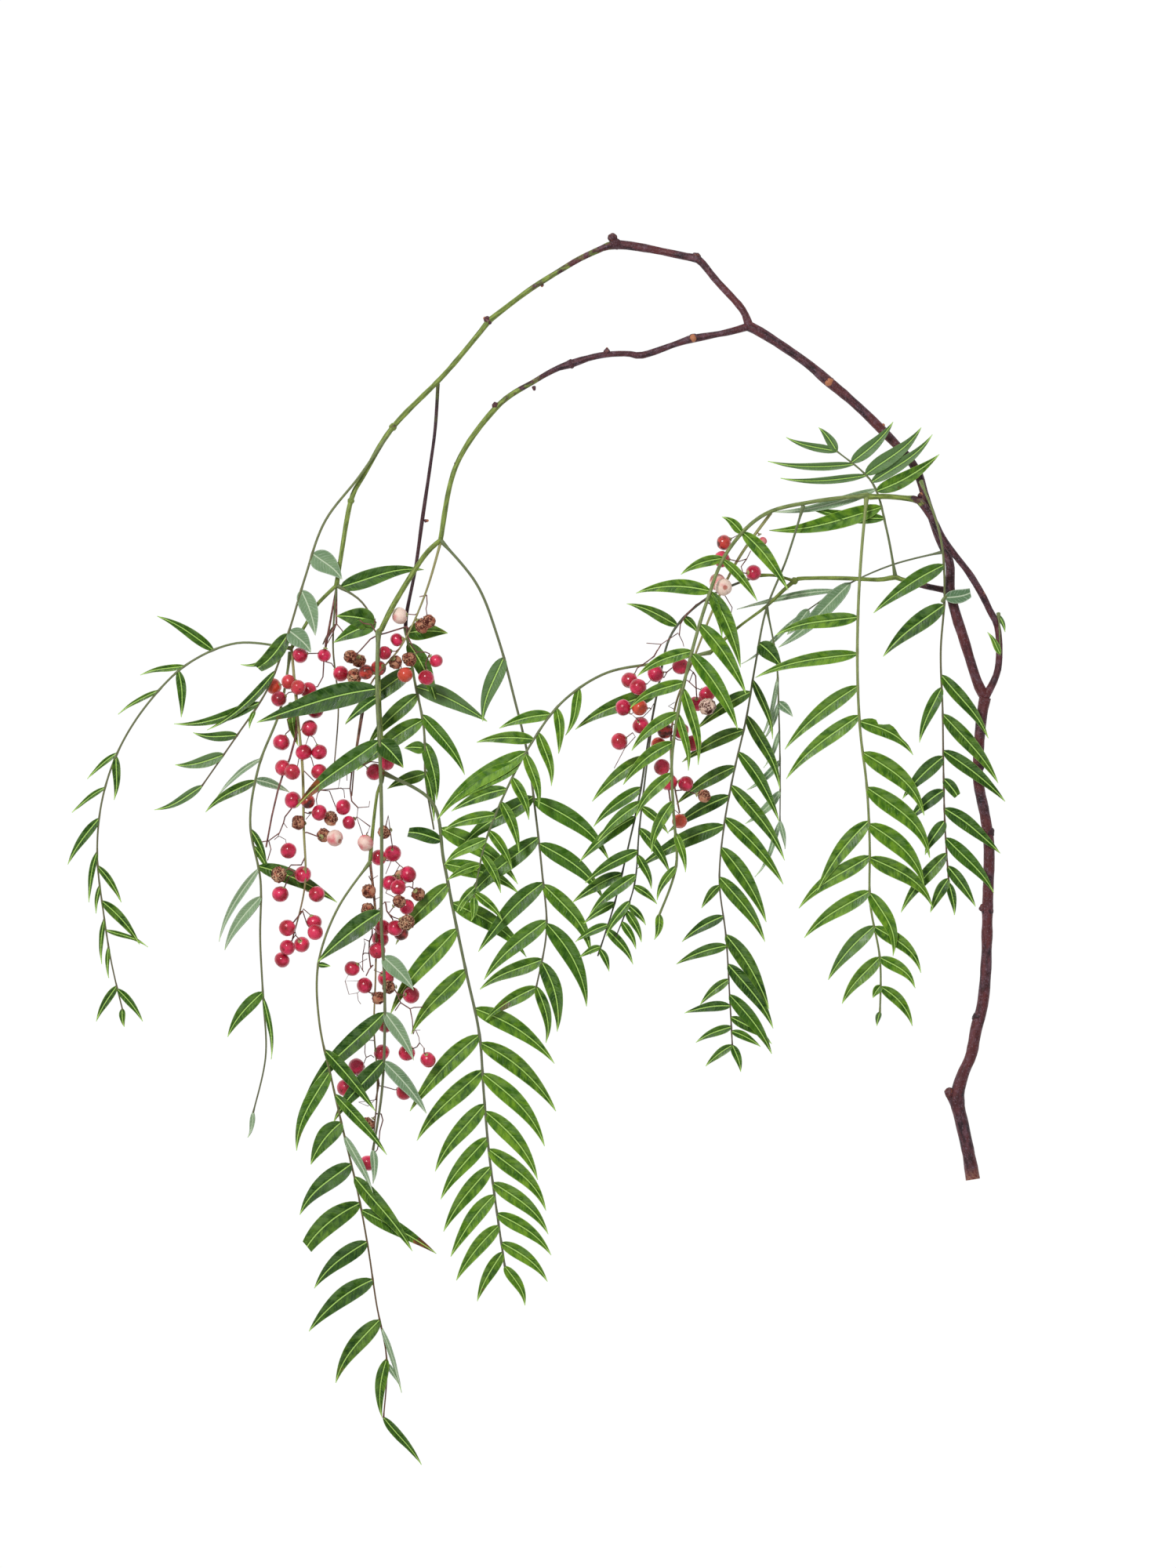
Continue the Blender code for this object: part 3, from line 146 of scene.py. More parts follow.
# Limbs of the woody stem: x, y, height and radius in millimetres
LIMBS = {
    "main": [
        (155.9, -118, 2.3, 2.6), (154.4, -109, 2.0, 2.3), (151.9, -97.5, 2.4, 2.3), (150.2, -89, 3.2, 2.6),
        (152.2, -80.5, 3.8, 2.1), (155.2, -73.5, 4.2, 2.0), (157, -64, 4.6, 2.2), (159.3, -55, 5, 2.0),
        (160.5, -41, 5.4, 1.95), (161, -20, 6.2, 1.95), (161.5, 0, 7, 1.95), (160, 12, 7.5, 1.9),
        (157.5, 26, 8, 1.9), (158.5, 45, 9, 1.9), (160, 54, 9.5, 2.1),
    ],
    "left_fork": [
        (160, 54, 9.5, 1.8), (157, 60, 9.8, 1.8), (152, 76, 10.5, 1.85), (150, 82, 10.8, 1.85),
        (147.5, 92, 11.2, 1.7), (147.3, 102, 11.5, 1.6), (143.5, 111, 11.5, 1.55), (139, 124, 11.5, 1.5),
        (134.5, 136.6, 11.5, 1.55), (121.5, 151, 11, 1.7), (112, 160, 11, 1.6), (104, 166.7, 10.5, 1.8),
        (97, 172.7, 10.3, 1.6), (88.5, 178.7, 10, 1.65), (80.6, 183.8, 9.6, 1.8), (75.9, 186.3, 9.5, 1.85),
    ],
    "right_fork": [
        (160, 54, 9.5, 1.5), (164.5, 64, 10.5, 1.25), (164.5, 78, 12, 1.15), (161.3, 85.4, 13.3, 1.2),
        (158.5, 91, 14.2, 1.25), (154, 98.3, 15.6, 1.2), (149.5, 104, 16.5, 1.2), (145, 110, 17, 1.25),
        (141, 117.5, 17.6, 1.3), (137.5, 122.5, 18, 1.35), (135.5, 124.3, 18, 1.3), (131.5, 124.8, 18, 0.95),
        (124.9, 125.4, 18.5, 0.95), (120.5, 125.3, 18.9, 1.0), (118.7, 125.3, 19, 1.15),
    ],
    "middle_twig": [
        (147, 92, 11, 1.2), (138.3, 93.8, 10.6, 1.05), (130.5, 96, 10.2, 0.8), (128, 96.9, 10, 0.95),
        (122, 96, 9.8, 0.75), (110, 96.5, 9.5, 0.75), (97, 96.5, 9.5, 0.7), (92, 95.5, 9.8, 0.75),
        (82, 86.5, 11, 0.55), (72, 79, 13, 0.5), (62, 70, 15, 0.75),
    ],
    "middle_side": [(92, 95.5, 9.8, 0.6), (85, 97.5, 10, 0.5), (78.5, 97.4, 11, 0.75)],
    "outer_arch": [
        (75.9, 186.3, 9.5, 1.6), (73.3, 192.6, 8.5, 1.35), (64.4, 202.6, 6.2, 1.25), (59, 209.3, 4.8, 1.35),
        (56.5, 210.8, 4.2, 1.6), (53.5, 211.4, 3.8, 1.4), (40.9, 214.1, 2.2, 1.45), (32.5, 215.5, 1.5, 1.6),
        (28.3, 215.7, 1.3, 1.75), (25.8, 215.3, 1.3, 1.4), (23, 214.2, 1.3, 1.15), (15.7, 210.8, 1.3, 1.05),
        (10.1, 207.5, 1.4, 1.0), (2.2, 202.6, 1.9, 1.0), (-3.9, 198.5, 2.3, 0.95), (-14.6, 190.3, 3.1, 1.0),
        (-17.4, 187.9, 3.4, 1.15), (-20.2, 184.2, 3.6, 0.95), (-33, 169, 4.8, 0.9), (-51, 150.5, 7, 1.0),
        (-61, 134, 9, 0.85), (-66, 124, 10, 0.9), (-69.5, 104, 12, 0.8), (-71, 94, 12.5, 0.95),
    ],
    "outer_twig": [(-71, 94, 12.5, 0.7), (-78, 87, 12.5, 0.65), (-82, 80, 12.3, 0.6), (-87.5, 71, 12, 0.7)],
    "dark_twig": [
        (-35, 166, 4.9, 0.65), (-36, 150, 5.5, 0.6), (-38, 135, 6, 0.6), (-40.5, 118, 7, 0.7),
        (-43, 100, 8, 0.6), (-46, 85, 8.5, 0.65), (-46.5, 79.5, 8.5, 0.75),
    ],
    "inner_arch": [
        (75.9, 186.3, 9.5, 1.5), (68.9, 184.3, 9.5, 1.25), (62.7, 183.1, 9.5, 1.15), (56.6, 182, 9.5, 1.4),
        (54, 181.4, 9.5, 1.3), (49.3, 179.8, 9.7, 1.1), (38.1, 176, 10, 1.2), (32.5, 176.5, 10, 1.05),
        (25.2, 176.2, 10.2, 1.1), (19, 175, 10.3, 1.15), (12.3, 172.8, 10.5, 1.45), (9.5, 171.9, 10.5, 1.2),
        (6.7, 170.8, 10.6, 1.0), (0, 167, 11, 0.9), (-14, 157.5, 11.5, 1.05), (-28.5, 136.5, 12.5, 0.9),
        (-34, 110, 14, 0.9),
    ],
    "inner_twig": [(-34, 110, 14, 0.85), (-40, 104, 15.5, 0.9), (-50, 88, 19, 1.0), (-55, 78, 20.5, 0.95)],
    "hanging_stem": [
        (-55, 78, 20.5, 0.6), (-56, 72, 14.5, 0.55), (-55.5, 50, 13.5, 0.55), (-54.5, 27, 13, 0.7),
        (-56.5, 20, 13, 0.55), (-58, 8, 13.5, 0.6), (-59, -4, 14, 0.75),
    ],
}

# Knots on the limbs: x, y, height and radius in millimetres
KNOTS = [
    (147.6, -87, 3.6, 2.0), (159.5, -21, 6.3, 1.7), (104.2, 166.6, 10.8, 1.95), (57.2, 211.2, 4.3, 1.75),
    (27.2, 218.2, 1.8, 1.78), (-17.5, 188.9, 3.5, 1.3), (56, 182.2, 9.6, 1.6), (25.2, 177.2, 10.2, 1.2),
    (-14.5, 158, 11.6, 1.35),
]

# Each frond's stems: their points x, y, and their heights spread evenly along them. Leaflets run from x, y
# to x, y, with the width in millimetres where it isn't the usual one, and a word where its look isn't the
# frond's. Bows are for the left and the right leaflets' midribs, as a share of their length, slim makes the
# usual widths smaller, and backs is for a frond that shows its leaves' backs.
FRONDS = {
    "frond_far_left": dict(
        stems=[([
            (-87, 71.5), (-94, 72.5), (-104, 73.5), (-110, 72.8), (-116, 71), (-122, 67.5), (-128, 63),
            (-134, 57.5), (-139, 51), (-144, 44), (-148, 37), (-151, 30), (-153.5, 22), (-155.5, 14),
            (-156.5, 5), (-156.5, -3), (-155.8, -11), (-154.8, -19), (-153.7, -28), (-152.5, -36),
            (-151, -43), (-149.5, -50), (-147, -60),
        ], (12, 10, 9, 8, 7, 6, 5, 4, 2))],
        leaflets=[
            (-115.5, 72, -135, 83, 3.7), (-125.5, 65.5, -141, 62, 2.4), (-127, 63, -126.5, 47, 3.4),
            (-135, 57, -149, 48, 1.8), (-150, 34.5, -160, 25, 2), (-149.5, 33, -150.5, 17.5, 3),
            (-154, 22, -165.5, 13, 1.8), (-156.5, 11, -167, -5.5, 3.4), (-157, -1, -159.5, -19, 2.2),
            (-156, -6, -148, -19, 2.6), (-155.5, -13, -157, -23, 1.6), (-154.5, -18.5, -141.5, -34, 3.7),
            (-153.5, -29, -138.5, -35, 1.8), (-154.5, -25, -155, -41, 1.8), (-153.5, -35, -152.5, -46, 1.6),
            (-150, -49, -157, -61.5, 2.9), (-149.5, -50, -140.5, -61.5, 2.8), (-147.5, -57, -147, -63.5, 2.3),
        ],
        bows=(0.04, 0.05),
    ),
    "frond_left_arch": dict(
        stems=[([
            (-51, 150.5), (-56, 144.5), (-62, 134), (-70, 124), (-76, 115), (-79, 106), (-82, 97), (-85, 88),
            (-88, 77), (-91.5, 68), (-95, 58), (-98, 53), (-103, 46), (-108, 38), (-112, 31), (-116, 25.5),
            (-119, 22.5),
        ], (7, 10.5, 14, 16, 17, 17.5, 17, 15, 13, 11))],
        leaflets=[
            (-79, 105, -69, 96, 8, "back"), (-83, 92, -78.5, 76, 6.5, "back"),
            (-87, 77.5, -80, 70, 7, "back"), (-88, 76.5, -99, 64.5, 5.8, "blunt"),
            (-93.3, 63.6, -117, 42.4, 3.2, "dark"), (-99.3, 52.8, -128.8, 44.6, 3.9),
            (-107, 41, -122, 41.5, 3.6, "dark"), (-111, 33.5, -128.5, 30, 4.4, "painted_sheen"),
            (-119, 22.5, -136, 14, 3.2, "painted_sheen"), (-101, 50, -102, 43, 1.6, "bright"),
            (-91, 68, -105, 65.7, 2, "dark"),
        ],
        bows=(-0.06, 0.05),
    ),
    "frond_left_hanging": dict(
        stems=[([
            (-87.5, 70), (-89, 60), (-91, 50), (-95, 43), (-98, 33), (-100, 23), (-101, 15), (-102, 8),
            (-101, 1), (-98.5, -6), (-98.3, -15), (-98.5, -28), (-98, -40), (-97.5, -50), (-97, -62),
            (-96.5, -74), (-97, -84), (-101, -94),
        ], (12, 8.5, 8, 8, 8, 8, 7, 6, 5, 3, 2))],
        leaflets=[
            (-97.5, 32, -113.8, 18.5, 2, "back"), (-100, 24.3, -117.8, 13.2, 3.8),
            (-99, 24.5, -88, 20.3, 3.4, "back"), (-102, 7, -96, -6, 2.6), (-101, 1, -95, -9, 2.4),
            (-98.5, -6, -71, -19, 5.8), (-98.5, -7, -113, -33, 2.9, "back"),
            (-99, -17, -111, -36, 4.4, "back"), (-97.8, -51, -110, -67, 4.8), (-97, -53, -94.5, -75, 2),
            (-101, -94, -103, -103, 1.8, "back"),
        ],
        bows=(0.06, 0.05),
    ),
    "frond_centre_left": dict(
        stems=[([
            (-56, 77.5), (-57, 66), (-56.3, 56), (-56, 46), (-55.5, 38), (-55, 28), (-54.8, 15), (-54.7, 0),
            (-54.8, -12), (-55, -22), (-54.5, -32), (-54, -40), (-53.8, -50), (-53.8, -58), (-53.8, -68),
            (-54, -75), (-54.5, -84), (-56, -93), (-57.5, -101), (-58, -107),
        ], (20.5, 26.5, 28, 27, 26, 25, 24, 22, 20, 17.5, 15, 14))],
        leaflets=[
            (-56.5, 57, -99, 45, 8.8), (-56, 38.5, -85, 15, 6.8, "rust"), (-55.3, 38.5, -47, 29, 7.4),
            (-58, 54, -67.5, 45, 3.6), (-55, -22, -77.5, -40, 7.2), (-53, -38, -43.5, -50, 6.2, "back"),
            (-54, -58, -82, -88, 6.8), (-53, -58, -43.5, -75, 5.2, "back"), (-54, -75, -72, -97, 6.2),
            (-53, -75.5, -39, -94, 5.2, "back"), (-58, -107, -58, -119, 2.8, "back"),
        ],
        bows=(0.03, 0.04),
    ),
    "leafy_stem_upper_left": dict(
        stems=[([
            (-71, 94), (-66, 91.5), (-62, 88), (-58.5, 84.5), (-57, 80.5),
        ], (12.5, 13, 13.5, 14)), ([
            (-71, 94), (-71.5, 80), (-72.5, 70), (-71, 60), (-70.5, 48), (-71.5, 38), (-72, 30),
        ], (12.5, 8, 6, 5)), ([
            (-71.6, 80), (-74, 77), (-76, 73),
        ], (8.5, 8))],
        leaflets=[
            (-57.5, 81, -71, 83, 7.5), (-57, 80.5, -72, 73.5, 6), (-69.5, 93.5, -40, 99.5, 6.2, "usual"),
        ],
    ),
    "frond_low_left": dict(
        stems=[([
            (-59, -4.5), (-62, -8), (-66, -13), (-70, -20), (-73.5, -28), (-77, -39), (-77.8, -48),
            (-77.3, -58), (-76, -67), (-74, -76), (-71.5, -86), (-69.5, -96), (-67, -106), (-64.5, -117),
            (-62, -129), (-60, -141), (-58, -155), (-56, -168), (-53.5, -180), (-53.5, -190), (-54.5, -203),
        ], (14, 17, 20, 22.5, 23.5, 23.5, 22, 18, 14, 10, 6.5, 4, 2, 0.9))],
        leaflets=[
            (-73, -79, -85, -107, 5.7), (-74, -71, -57, -93, 4.8), (-71, -87, -53, -108.5, 4.2, "mid"),
            (-69.5, -97, -80, -112, 7), (-66, -112, -84, -130, 7), (-63, -126, -81.5, -141.5, 7.6, "blunt"),
            (-61, -140, -79, -156.5, 6.3), (-58.5, -153.5, -81, -172, 6.8), (-56, -168, -71.5, -190.5, 6.3),
            (-53, -182, -55, -203, 4.2), (-68, -102, -58, -122, 3, "back"), (-64.5, -116.5, -44, -143, 5.8),
            (-62, -128.5, -35.5, -144, 5.4, "rust"), (-55.5, -171, -48, -194, 1.8, "back"),
            (-54.3, -203, -41, -219.9, 3.3), (-53, -183.5, -48.7, -191.5, 1.8, "back"),
            (-77.4, -41, -73, -41.5, 2),
        ],
        bows=(0.07, 0.02),
    ),
    "frond_low_centre": dict(
        stems=[([
            (-54, 27), (-49, 25.6), (-44, 24), (-40, 21.5), (-37, 17), (-35.3, 10), (-34, 2), (-32, -9),
            (-30, -19), (-28, -30), (-25.5, -42), (-22.5, -53), (-20.5, -64), (-19.3, -76), (-18.5, -90),
            (-17.6, -101), (-16.5, -111), (-15, -122), (-13.6, -133), (-12, -143), (-11.2, -149),
        ], (13, 13, 10.5, 8.5, 7, 6.5, 6.5, 6, 6, 5, 4, 2.2, 0.9))],
        leaflets=[
            (-34.5, 3, -45.5, 6, 5, "blunt"), (-32, -12.5, -50, -34), (-28.5, -28.5, -52, -59),
            (-25, -43, -44.5, -66), (-21.5, -66.5, -45, -93.5), (-20, -79, -42.5, -104),
            (-19, -91, -36, -115), (-18, -103, -34, -125), (-17, -113.5, -33, -136.5),
            (-15.5, -123.5, -30.5, -145.5), (-14, -134.5, -28.5, -154), (-12.5, -144, -21, -161.5),
            (-33.5, 7.5, -6.5, -12.5), (-32, -5, -6, -16), (-29, -19, -3.5, -38.5),
            (-20.5, -56.5, 6.5, -76.5), (-19, -69, 7, -93.5), (-18, -80, 3, -106), (-17.3, -93.5, 0.5, -118),
            (-16.2, -107, 3.5, -129), (-14.7, -119, 4.3, -137.5), (-13.3, -130, 5.3, -145),
            (-12.2, -140.5, 4, -154.5), (-11, -149, -4, -163),
        ],
        bows=(0.045, 0.08), slim=0.88,
    ),
    "frond_upper_left": dict(
        stems=[([
            (-46.5, 79), (-45.5, 70), (-43.5, 61), (-41.5, 54), (-40.3, 46), (-39.7, 38), (-39.6, 30),
            (-39.3, 24), (-38, 15), (-36.5, 7),
        ], (8.5, 7.2, 7, 7, 6, 4))],
        leaflets=[
            (-46, 77, -31.5, 77, 6.5), (-46, 64, -68, 44.5), (-43, 55, -60, 37), (-41, 46, -64, 28),
            (-40, 36, -47, 36, 4.5), (-40, 27, -53, 21.5, 4.6), (-45.5, 73.5, -35.5, 52, 6),
            (-42, 58, -17.5, 45.5, 6.5, "painted_sheen"), (-40, 48, -25.5, 26.5, 5), (-39.5, 38, -35.5, 17.5, 5),
            (-39.3, 28, -36.5, 10, 2.6),
        ],
        bows=(0.04, 0.05), slim=0.9,
    ),
    "frond_short_centre": dict(
        stems=[([
            (62, 70), (50, 67.3), (41, 66), (33, 64.8), (26, 63), (20, 60.5), (15, 56.5), (9, 52), (4.5, 47),
            (0, 40.5), (-4, 33.5), (-8, 26.5), (-11, 20), (-14, 12.5), (-17, 5), (-19.5, -2.5), (-21, -10),
            (-22, -17),
        ], (15, 16, 17, 19, 22, 24, 24, 23, 21, 19))],
        leaflets=[
            (4, 49, -13, 43), (-1.5, 39.5, -21, 38), (-4, 35, -35, 10.5), (-6.5, 30.5, -32, 14),
            (-10.5, 21.5, -30, 13.5), (-13.5, 12, -33, 6.5), (-17, 3.5, -32.5, -5.5), (-20, -5.5, -31.5, -11),
            (-22, -13, -28, -22), (15.5, 57, 10.5, 40.5, 3.4), (7.5, 50, 8, 34, 3.6), (1.5, 41, 5.5, 22.5, 4),
            (-3, 33.5, 1, 15, 4), (-7.5, 25, -2.5, 10.5, 3.8), (-10.5, 16, -6, -1, 3.8),
            (-15, 6, -8.5, -7, 3.6), (-18.5, -2, -12.5, -15.5, 3.4), (-21, -15.5, -12, -25.5, 3.2),
            (-22, -17, -23, -25.5, 3),
        ],
        bows=(0.06, 0.06), slim=0.85,
    ),
    "frond_centre": dict(
        stems=[([
            (-34, 110), (-31, 108), (-27, 105), (-23.5, 99), (-20, 92), (-15.5, 81), (-12, 70), (-9.5, 60),
            (-7, 51), (-5, 42), (-3.5, 36), (-1.7, 27), (-0.5, 18), (0, 10), (1, 2), (2, -7), (3, -15),
            (3.8, -25), (3.5, -33), (3, -40), (1, -46), (0, -49.5),
        ], (14, 14.5, 14, 13.5, 13, 13, 12.5, 12, 11, 9))],
        leaflets=[
            (-10.5, 68.5, -19, 45.5, 6, "painted_sheen"), (-2, 18.5, -27, 0, "usual"), (0, 4, -27, -22),
            (2, -12, -20.5, -36.5), (3.3, -25.5, -18.5, -46.5), (3, -39.5, -20, -50), (-0.5, -49, -18, -61),
            (1, 18, 26, -4), (1.5, 2, 24, -18), (3.5, -12.5, 19.5, -37.5), (4, -26.5, 18, -56),
            (3.5, -40.5, 7.5, -65, 6), (0, -49, 3.5, -69, 4),
        ],
        bows=(0.05, 0.09), slim=0.87,
    ),
    "frond_front_right": dict(
        stems=[([
            (118, 125.8), (105, 125), (95, 122.5), (84, 120), (78, 117), (72, 111.5), (67, 104), (63, 95),
            (60, 86), (57, 77), (55, 69), (52.5, 60), (51, 52), (49.5, 43), (48.5, 34), (47.5, 27),
            (47.5, 19), (49, 12), (50.3, 5), (50.3, -2), (49, -9), (46, -17), (43.5, -24),
        ], (19, 20, 21.5, 26, 31, 34, 36, 36, 36, 35, 33, 30, 27))],
        leaflets=[
            (73, 112.5, 66, 118, 3.4), (67, 103, 51.5, 97.5), (62, 91.5, 35.5, 90.8), (54.5, 70.4, 36, 61.3),
            (51.5, 59.5, 33.4, 50), (50, 48.4, 34, 35), (48.5, 38, 31, 23), (47.5, 27, 35.5, 11.5),
            (47.5, 17, 41, -1), (50, -6, 43, -18, 3), (74, 112, 89.5, 92), (67.5, 102, 78.5, 88, 3.4),
            (62, 91, 66, 75, 3), (63, 91, 72.5, 64.5), (59, 79.5, 74.5, 55), (56.5, 69, 71.5, 42.5),
            (53, 57, 57.5, 30, 4), (51, 48, 54, 28, 3), (50.5, 6, 53, -8, 3), (44, -23, 42, -32, 3),
        ],
        bows=(0.08, 0.05), slim=0.82,
    ),
    "frond_inner_right": dict(
        stems=[([
            (79, 97.5), (70, 94.5), (60, 89), (55, 87.5), (51, 82.5), (48, 76), (46, 68), (44, 60),
            (42.5, 52), (41, 44), (39.5, 36), (38.3, 28), (37, 20), (35.5, 11), (33.5, 3), (31.5, -4),
            (29.5, -12), (27.8, -20), (26.3, -27), (24, -33), (22, -38),
        ], (11, 10.5, 11, 13, 14, 14.5, 15.5, 16, 15, 14, 12)), ([
            (41.2, 44), (40.6, 37), (39.5, 30), (38.5, 23), (37.5, 14), (36.5, 5), (35.5, -4), (35, -12),
            (34, -19), (31.5, -25), (28.5, -31),
        ], (14.6, 19, 20.5, 21, 21, 20, 18, 16))],
        leaflets=[
            (49, 80.6, 32.3, 87.4), (52.5, 83, 57.5, 77, 3), (43, 56, 14, 42.6), (38.7, 33, 20, 17),
            (37, 22, 20.5, 8), (35.2, 11.5, 15.5, -4.5), (30, -8.5, 13, -19, 4.6), (28, -19, 17, -26.5),
            (26, -27, 14, -33), (24, -35, 15.5, -38.5), (27, -29, 34.5, -41), (24, -36, 26, -43.5),
            (37.5, 17, 22, 3), (36, -0.5, 17.5, -12), (35.3, -9, 19, -23.5), (33.5, -18.5, 25, -31),
            (38.5, 15, 47, 5.5), (36.5, 7.5, 47.5, -8.5), (36, -2, 41, -14, 3), (35, -13, 43, -19.5),
            (33.5, -20, 39, -27), (32.5, -22, 37.5, -33), (31, -26, 35.5, -35.5),
        ],
        bows=(0.05, 0.06), slim=0.78,
    ),
    "frond_mid_right": dict(
        stems=[([
            (95, 122), (92, 112), (88, 100), (84, 90), (81.5, 84), (80, 77), (78.5, 68), (77, 60), (76, 52),
            (74, 43), (71.5, 33), (70, 25), (68, 15), (66.5, 5), (65.8, -3), (65.3, -12), (65.8, -20),
            (67, -28), (68.3, -34), (69, -41), (69, -47), (68.8, -53), (68.3, -59), (69, -64), (70, -70),
        ], (20.5, 18, 15.5, 14, 13, 12.5, 12, 11.5, 11, 10, 8, 6, 4))],
        leaflets=[
            (76.5, 56, 57, 42.5), (73.5, 42.5, 52, 31), (70.5, 29.5, 50, 16), (68.5, 19, 47, 6),
            (66.5, 8.5, 36, -7), (64.8, -13, 59, -21, 3), (66, -24, 52, -33, 4), (67.5, -34.5, 50, -41),
            (68.5, -46.5, 58.5, -55.5), (67.8, -56, 53, -58.5), (68, -63.5, 57, -69),
            (69.5, -70.5, 60.5, -77.5), (79.6, 73.3, 87.3, 65, 6.2, "dark"), (77.5, 60.1, 84.2, 39.3, 2.8),
            (76, 47.3, 86.8, 21.5, 4.4), (73.5, 34.2, 86.5, 10, 4.5), (70.5, 22.5, 88.5, -4, 5),
            (68, 11, 88, -12.5, 5.2), (66.5, 0.5, 82, -26), (66, -10, 81.5, -33), (68, -30.5, 83, -57),
            (69.5, -41, 84.5, -64), (69, -52, 84, -73), (68.8, -60, 84, -69.5), (69.5, -65, 80, -70.5, 3),
            (70, -70, 73, -79.5, 3),
        ],
        bows=(0.05, 0.05), slim=0.8,
    ),
    "frond_pale_right": dict(
        stems=[([
            (82, 86.5), (84, 79), (85.5, 70), (85.8, 60), (86.5, 50), (86.7, 40), (87, 30), (87.3, 22),
            (87, 10),
        ], (11, 8, 6.5, 6, 5.5, 5, 4.5, 4))],
        leaflets=[
            (86.7, 52.5, 91.5, 47.2, 3.2), (85.4, 61, 79, 38, 1.6), (86.6, 52, 80.8, 38.8, 1.8),
            (86.8, 42, 81.1, 29, 1.8), (87.1, 31.5, 75.2, 21.1, 2.6), (87.4, 20.6, 74.6, 9, 3.2),
            (87, 10, 78, -10, 2), (87, 10, 88.8, 0, 1.8),
        ],
        bows=(-0.06, 0.03), backs=True,
    ),
    "frond_right": dict(
        stems=[([
            (117.5, 125), (116.8, 120), (116, 110), (115.3, 100), (114.8, 90), (114.3, 80), (114.2, 70),
            (114.3, 60), (114.5, 50), (115.5, 40), (116.8, 30), (117.8, 20), (118.3, 10), (118.7, 0),
            (118.5, -10), (118.8, -18), (119.7, -27), (122, -37), (123.5, -46), (123.5, -53), (122.5, -60),
        ], (19, 20, 20, 20, 20, 19.5, 19, 18, 17, 15, 12, 8))],
        leaflets=[
            (114, 82.5, 85, 76, 5.2), (114, 69.5, 78, 61, 4.9), (114.5, 58, 88.5, 35.5, 5.6),
            (114.5, 47.5, 89, 25, 5.6), (117.5, 10, 100, -15, 6), (118, -2.5, 93.5, -21, 5.8),
            (118.3, -15, 95.5, -31.5, 5.7), (119.5, -27.5, 104, -46.5, 5.6, "pale"),
            (122.5, -38.5, 109, -55, 5.2), (123.5, -48.5, 120, -53, 3), (116, 45.5, 134, 33.5, 5.6, "bitten"),
            (117, 34.5, 138, 12, 6.9), (118, 22, 140, -3, 7.1), (119, 9, 138, -13, 6.9),
            (119, -3, 141, -20.5, 6.2), (119, -15.5, 127, -38, 5.6), (120.5, -27.5, 137, -44, 5.2),
            (123, -38.5, 135, -49.5, 4.6), (124, -49, 134, -63, 4.4), (122.5, -58, 121.5, -63, 2, "painted_sheen"),
        ],
        bows=(0.05, 0.11),
    ),
    "frond_far_right": dict(
        stems=[([
            (137, 131), (139, 126), (142, 118), (144, 109), (145, 100), (145.3, 92), (145.2, 87), (144.5, 78),
            (144, 70), (144.5, 60), (144.7, 50), (144.8, 40), (145, 30), (145.2, 20), (145.5, 10), (146, 2),
            (146.7, -6), (147, -12),
        ], (13.5, 26, 20, 16.5, 14.5, 14, 14, 13.5, 13, 12, 11))],
        leaflets=[
            (144.5, 101, 120, 84, 5.6), (144.5, 87, 123.5, 68.5, 6.6), (144, 57.5, 136.5, 38, 4.4),
            (144.5, 33, 130.5, 18, 5.5), (144.5, 21, 132.5, 10, 5), (145, 10, 138.5, -2, 4.6),
            (145.5, -1.5, 130, -22.5, 5), (146.5, -10.5, 140.5, -22.5, 4), (145, 62, 161, 39.5, 4.9),
            (145, 48, 164.5, 23.5, 5.6), (145.2, 35, 167, 17, 5.2), (145.3, 25, 150, 19, 4, "blunt"),
            (145.8, 14.5, 165.3, -1.5, 5.5), (146.7, 4, 163, -15.5, 5.5), (147.2, -6, 156.5, -20.5, 4.3),
            (147, -12, 149, -23.5, 3),
        ],
        bows=(0.04, 0.035),
    ),
    "tuft_upper_right": dict(
        stems=[([
            (128, 97), (126.5, 105), (125, 113), (122, 121), (120.5, 127), (119, 132), (116.5, 135),
            (112.5, 138.5), (107, 141.5),
        ], (10, 13, 15.2, 16.2, 16.8, 17.5))],
        leaflets=[
            (119.8, 127.5, 84, 120, 3.4, "back"), (117.5, 133, 87, 132, 2.8), (113, 137, 82.5, 138, 2.9),
            (107, 141.5, 89, 146.5, 3), (107, 142, 100.5, 150, 3.4), (113, 138.5, 127, 152, 4.7),
            (118, 134, 137, 150, 5.4), (120, 131, 141, 147.5, 4.3),
            (121.5, 127.5, 143.5, 140.5, 5.4, "usual"), (122, 121.5, 83, 113.5, 6.2, "fresh"),
            (123, 117.5, 96, 122, 4.3, "usual"),
        ],
        bows=(0.045, 0.05),
    ),
    "tuft_pale_right": dict(
        stems=[([
            (145.5, 106), (137, 104.5), (130, 102.5), (120, 98.5), (112, 95), (104, 90), (98, 86), (93, 82.5),
        ], (11.5, 9, 7, 6, 5, 4.5))],
        leaflets=[
            (112, 95, 86.5, 72, 5.8), (107, 92.5, 71.6, 85.5, 2.4), (97.5, 85, 89.5, 76.5, 4),
            (94.5, 83.5, 73.2, 66, 1.8),
        ],
        bows=(0.03, 0.03), backs=True,
    ),
}

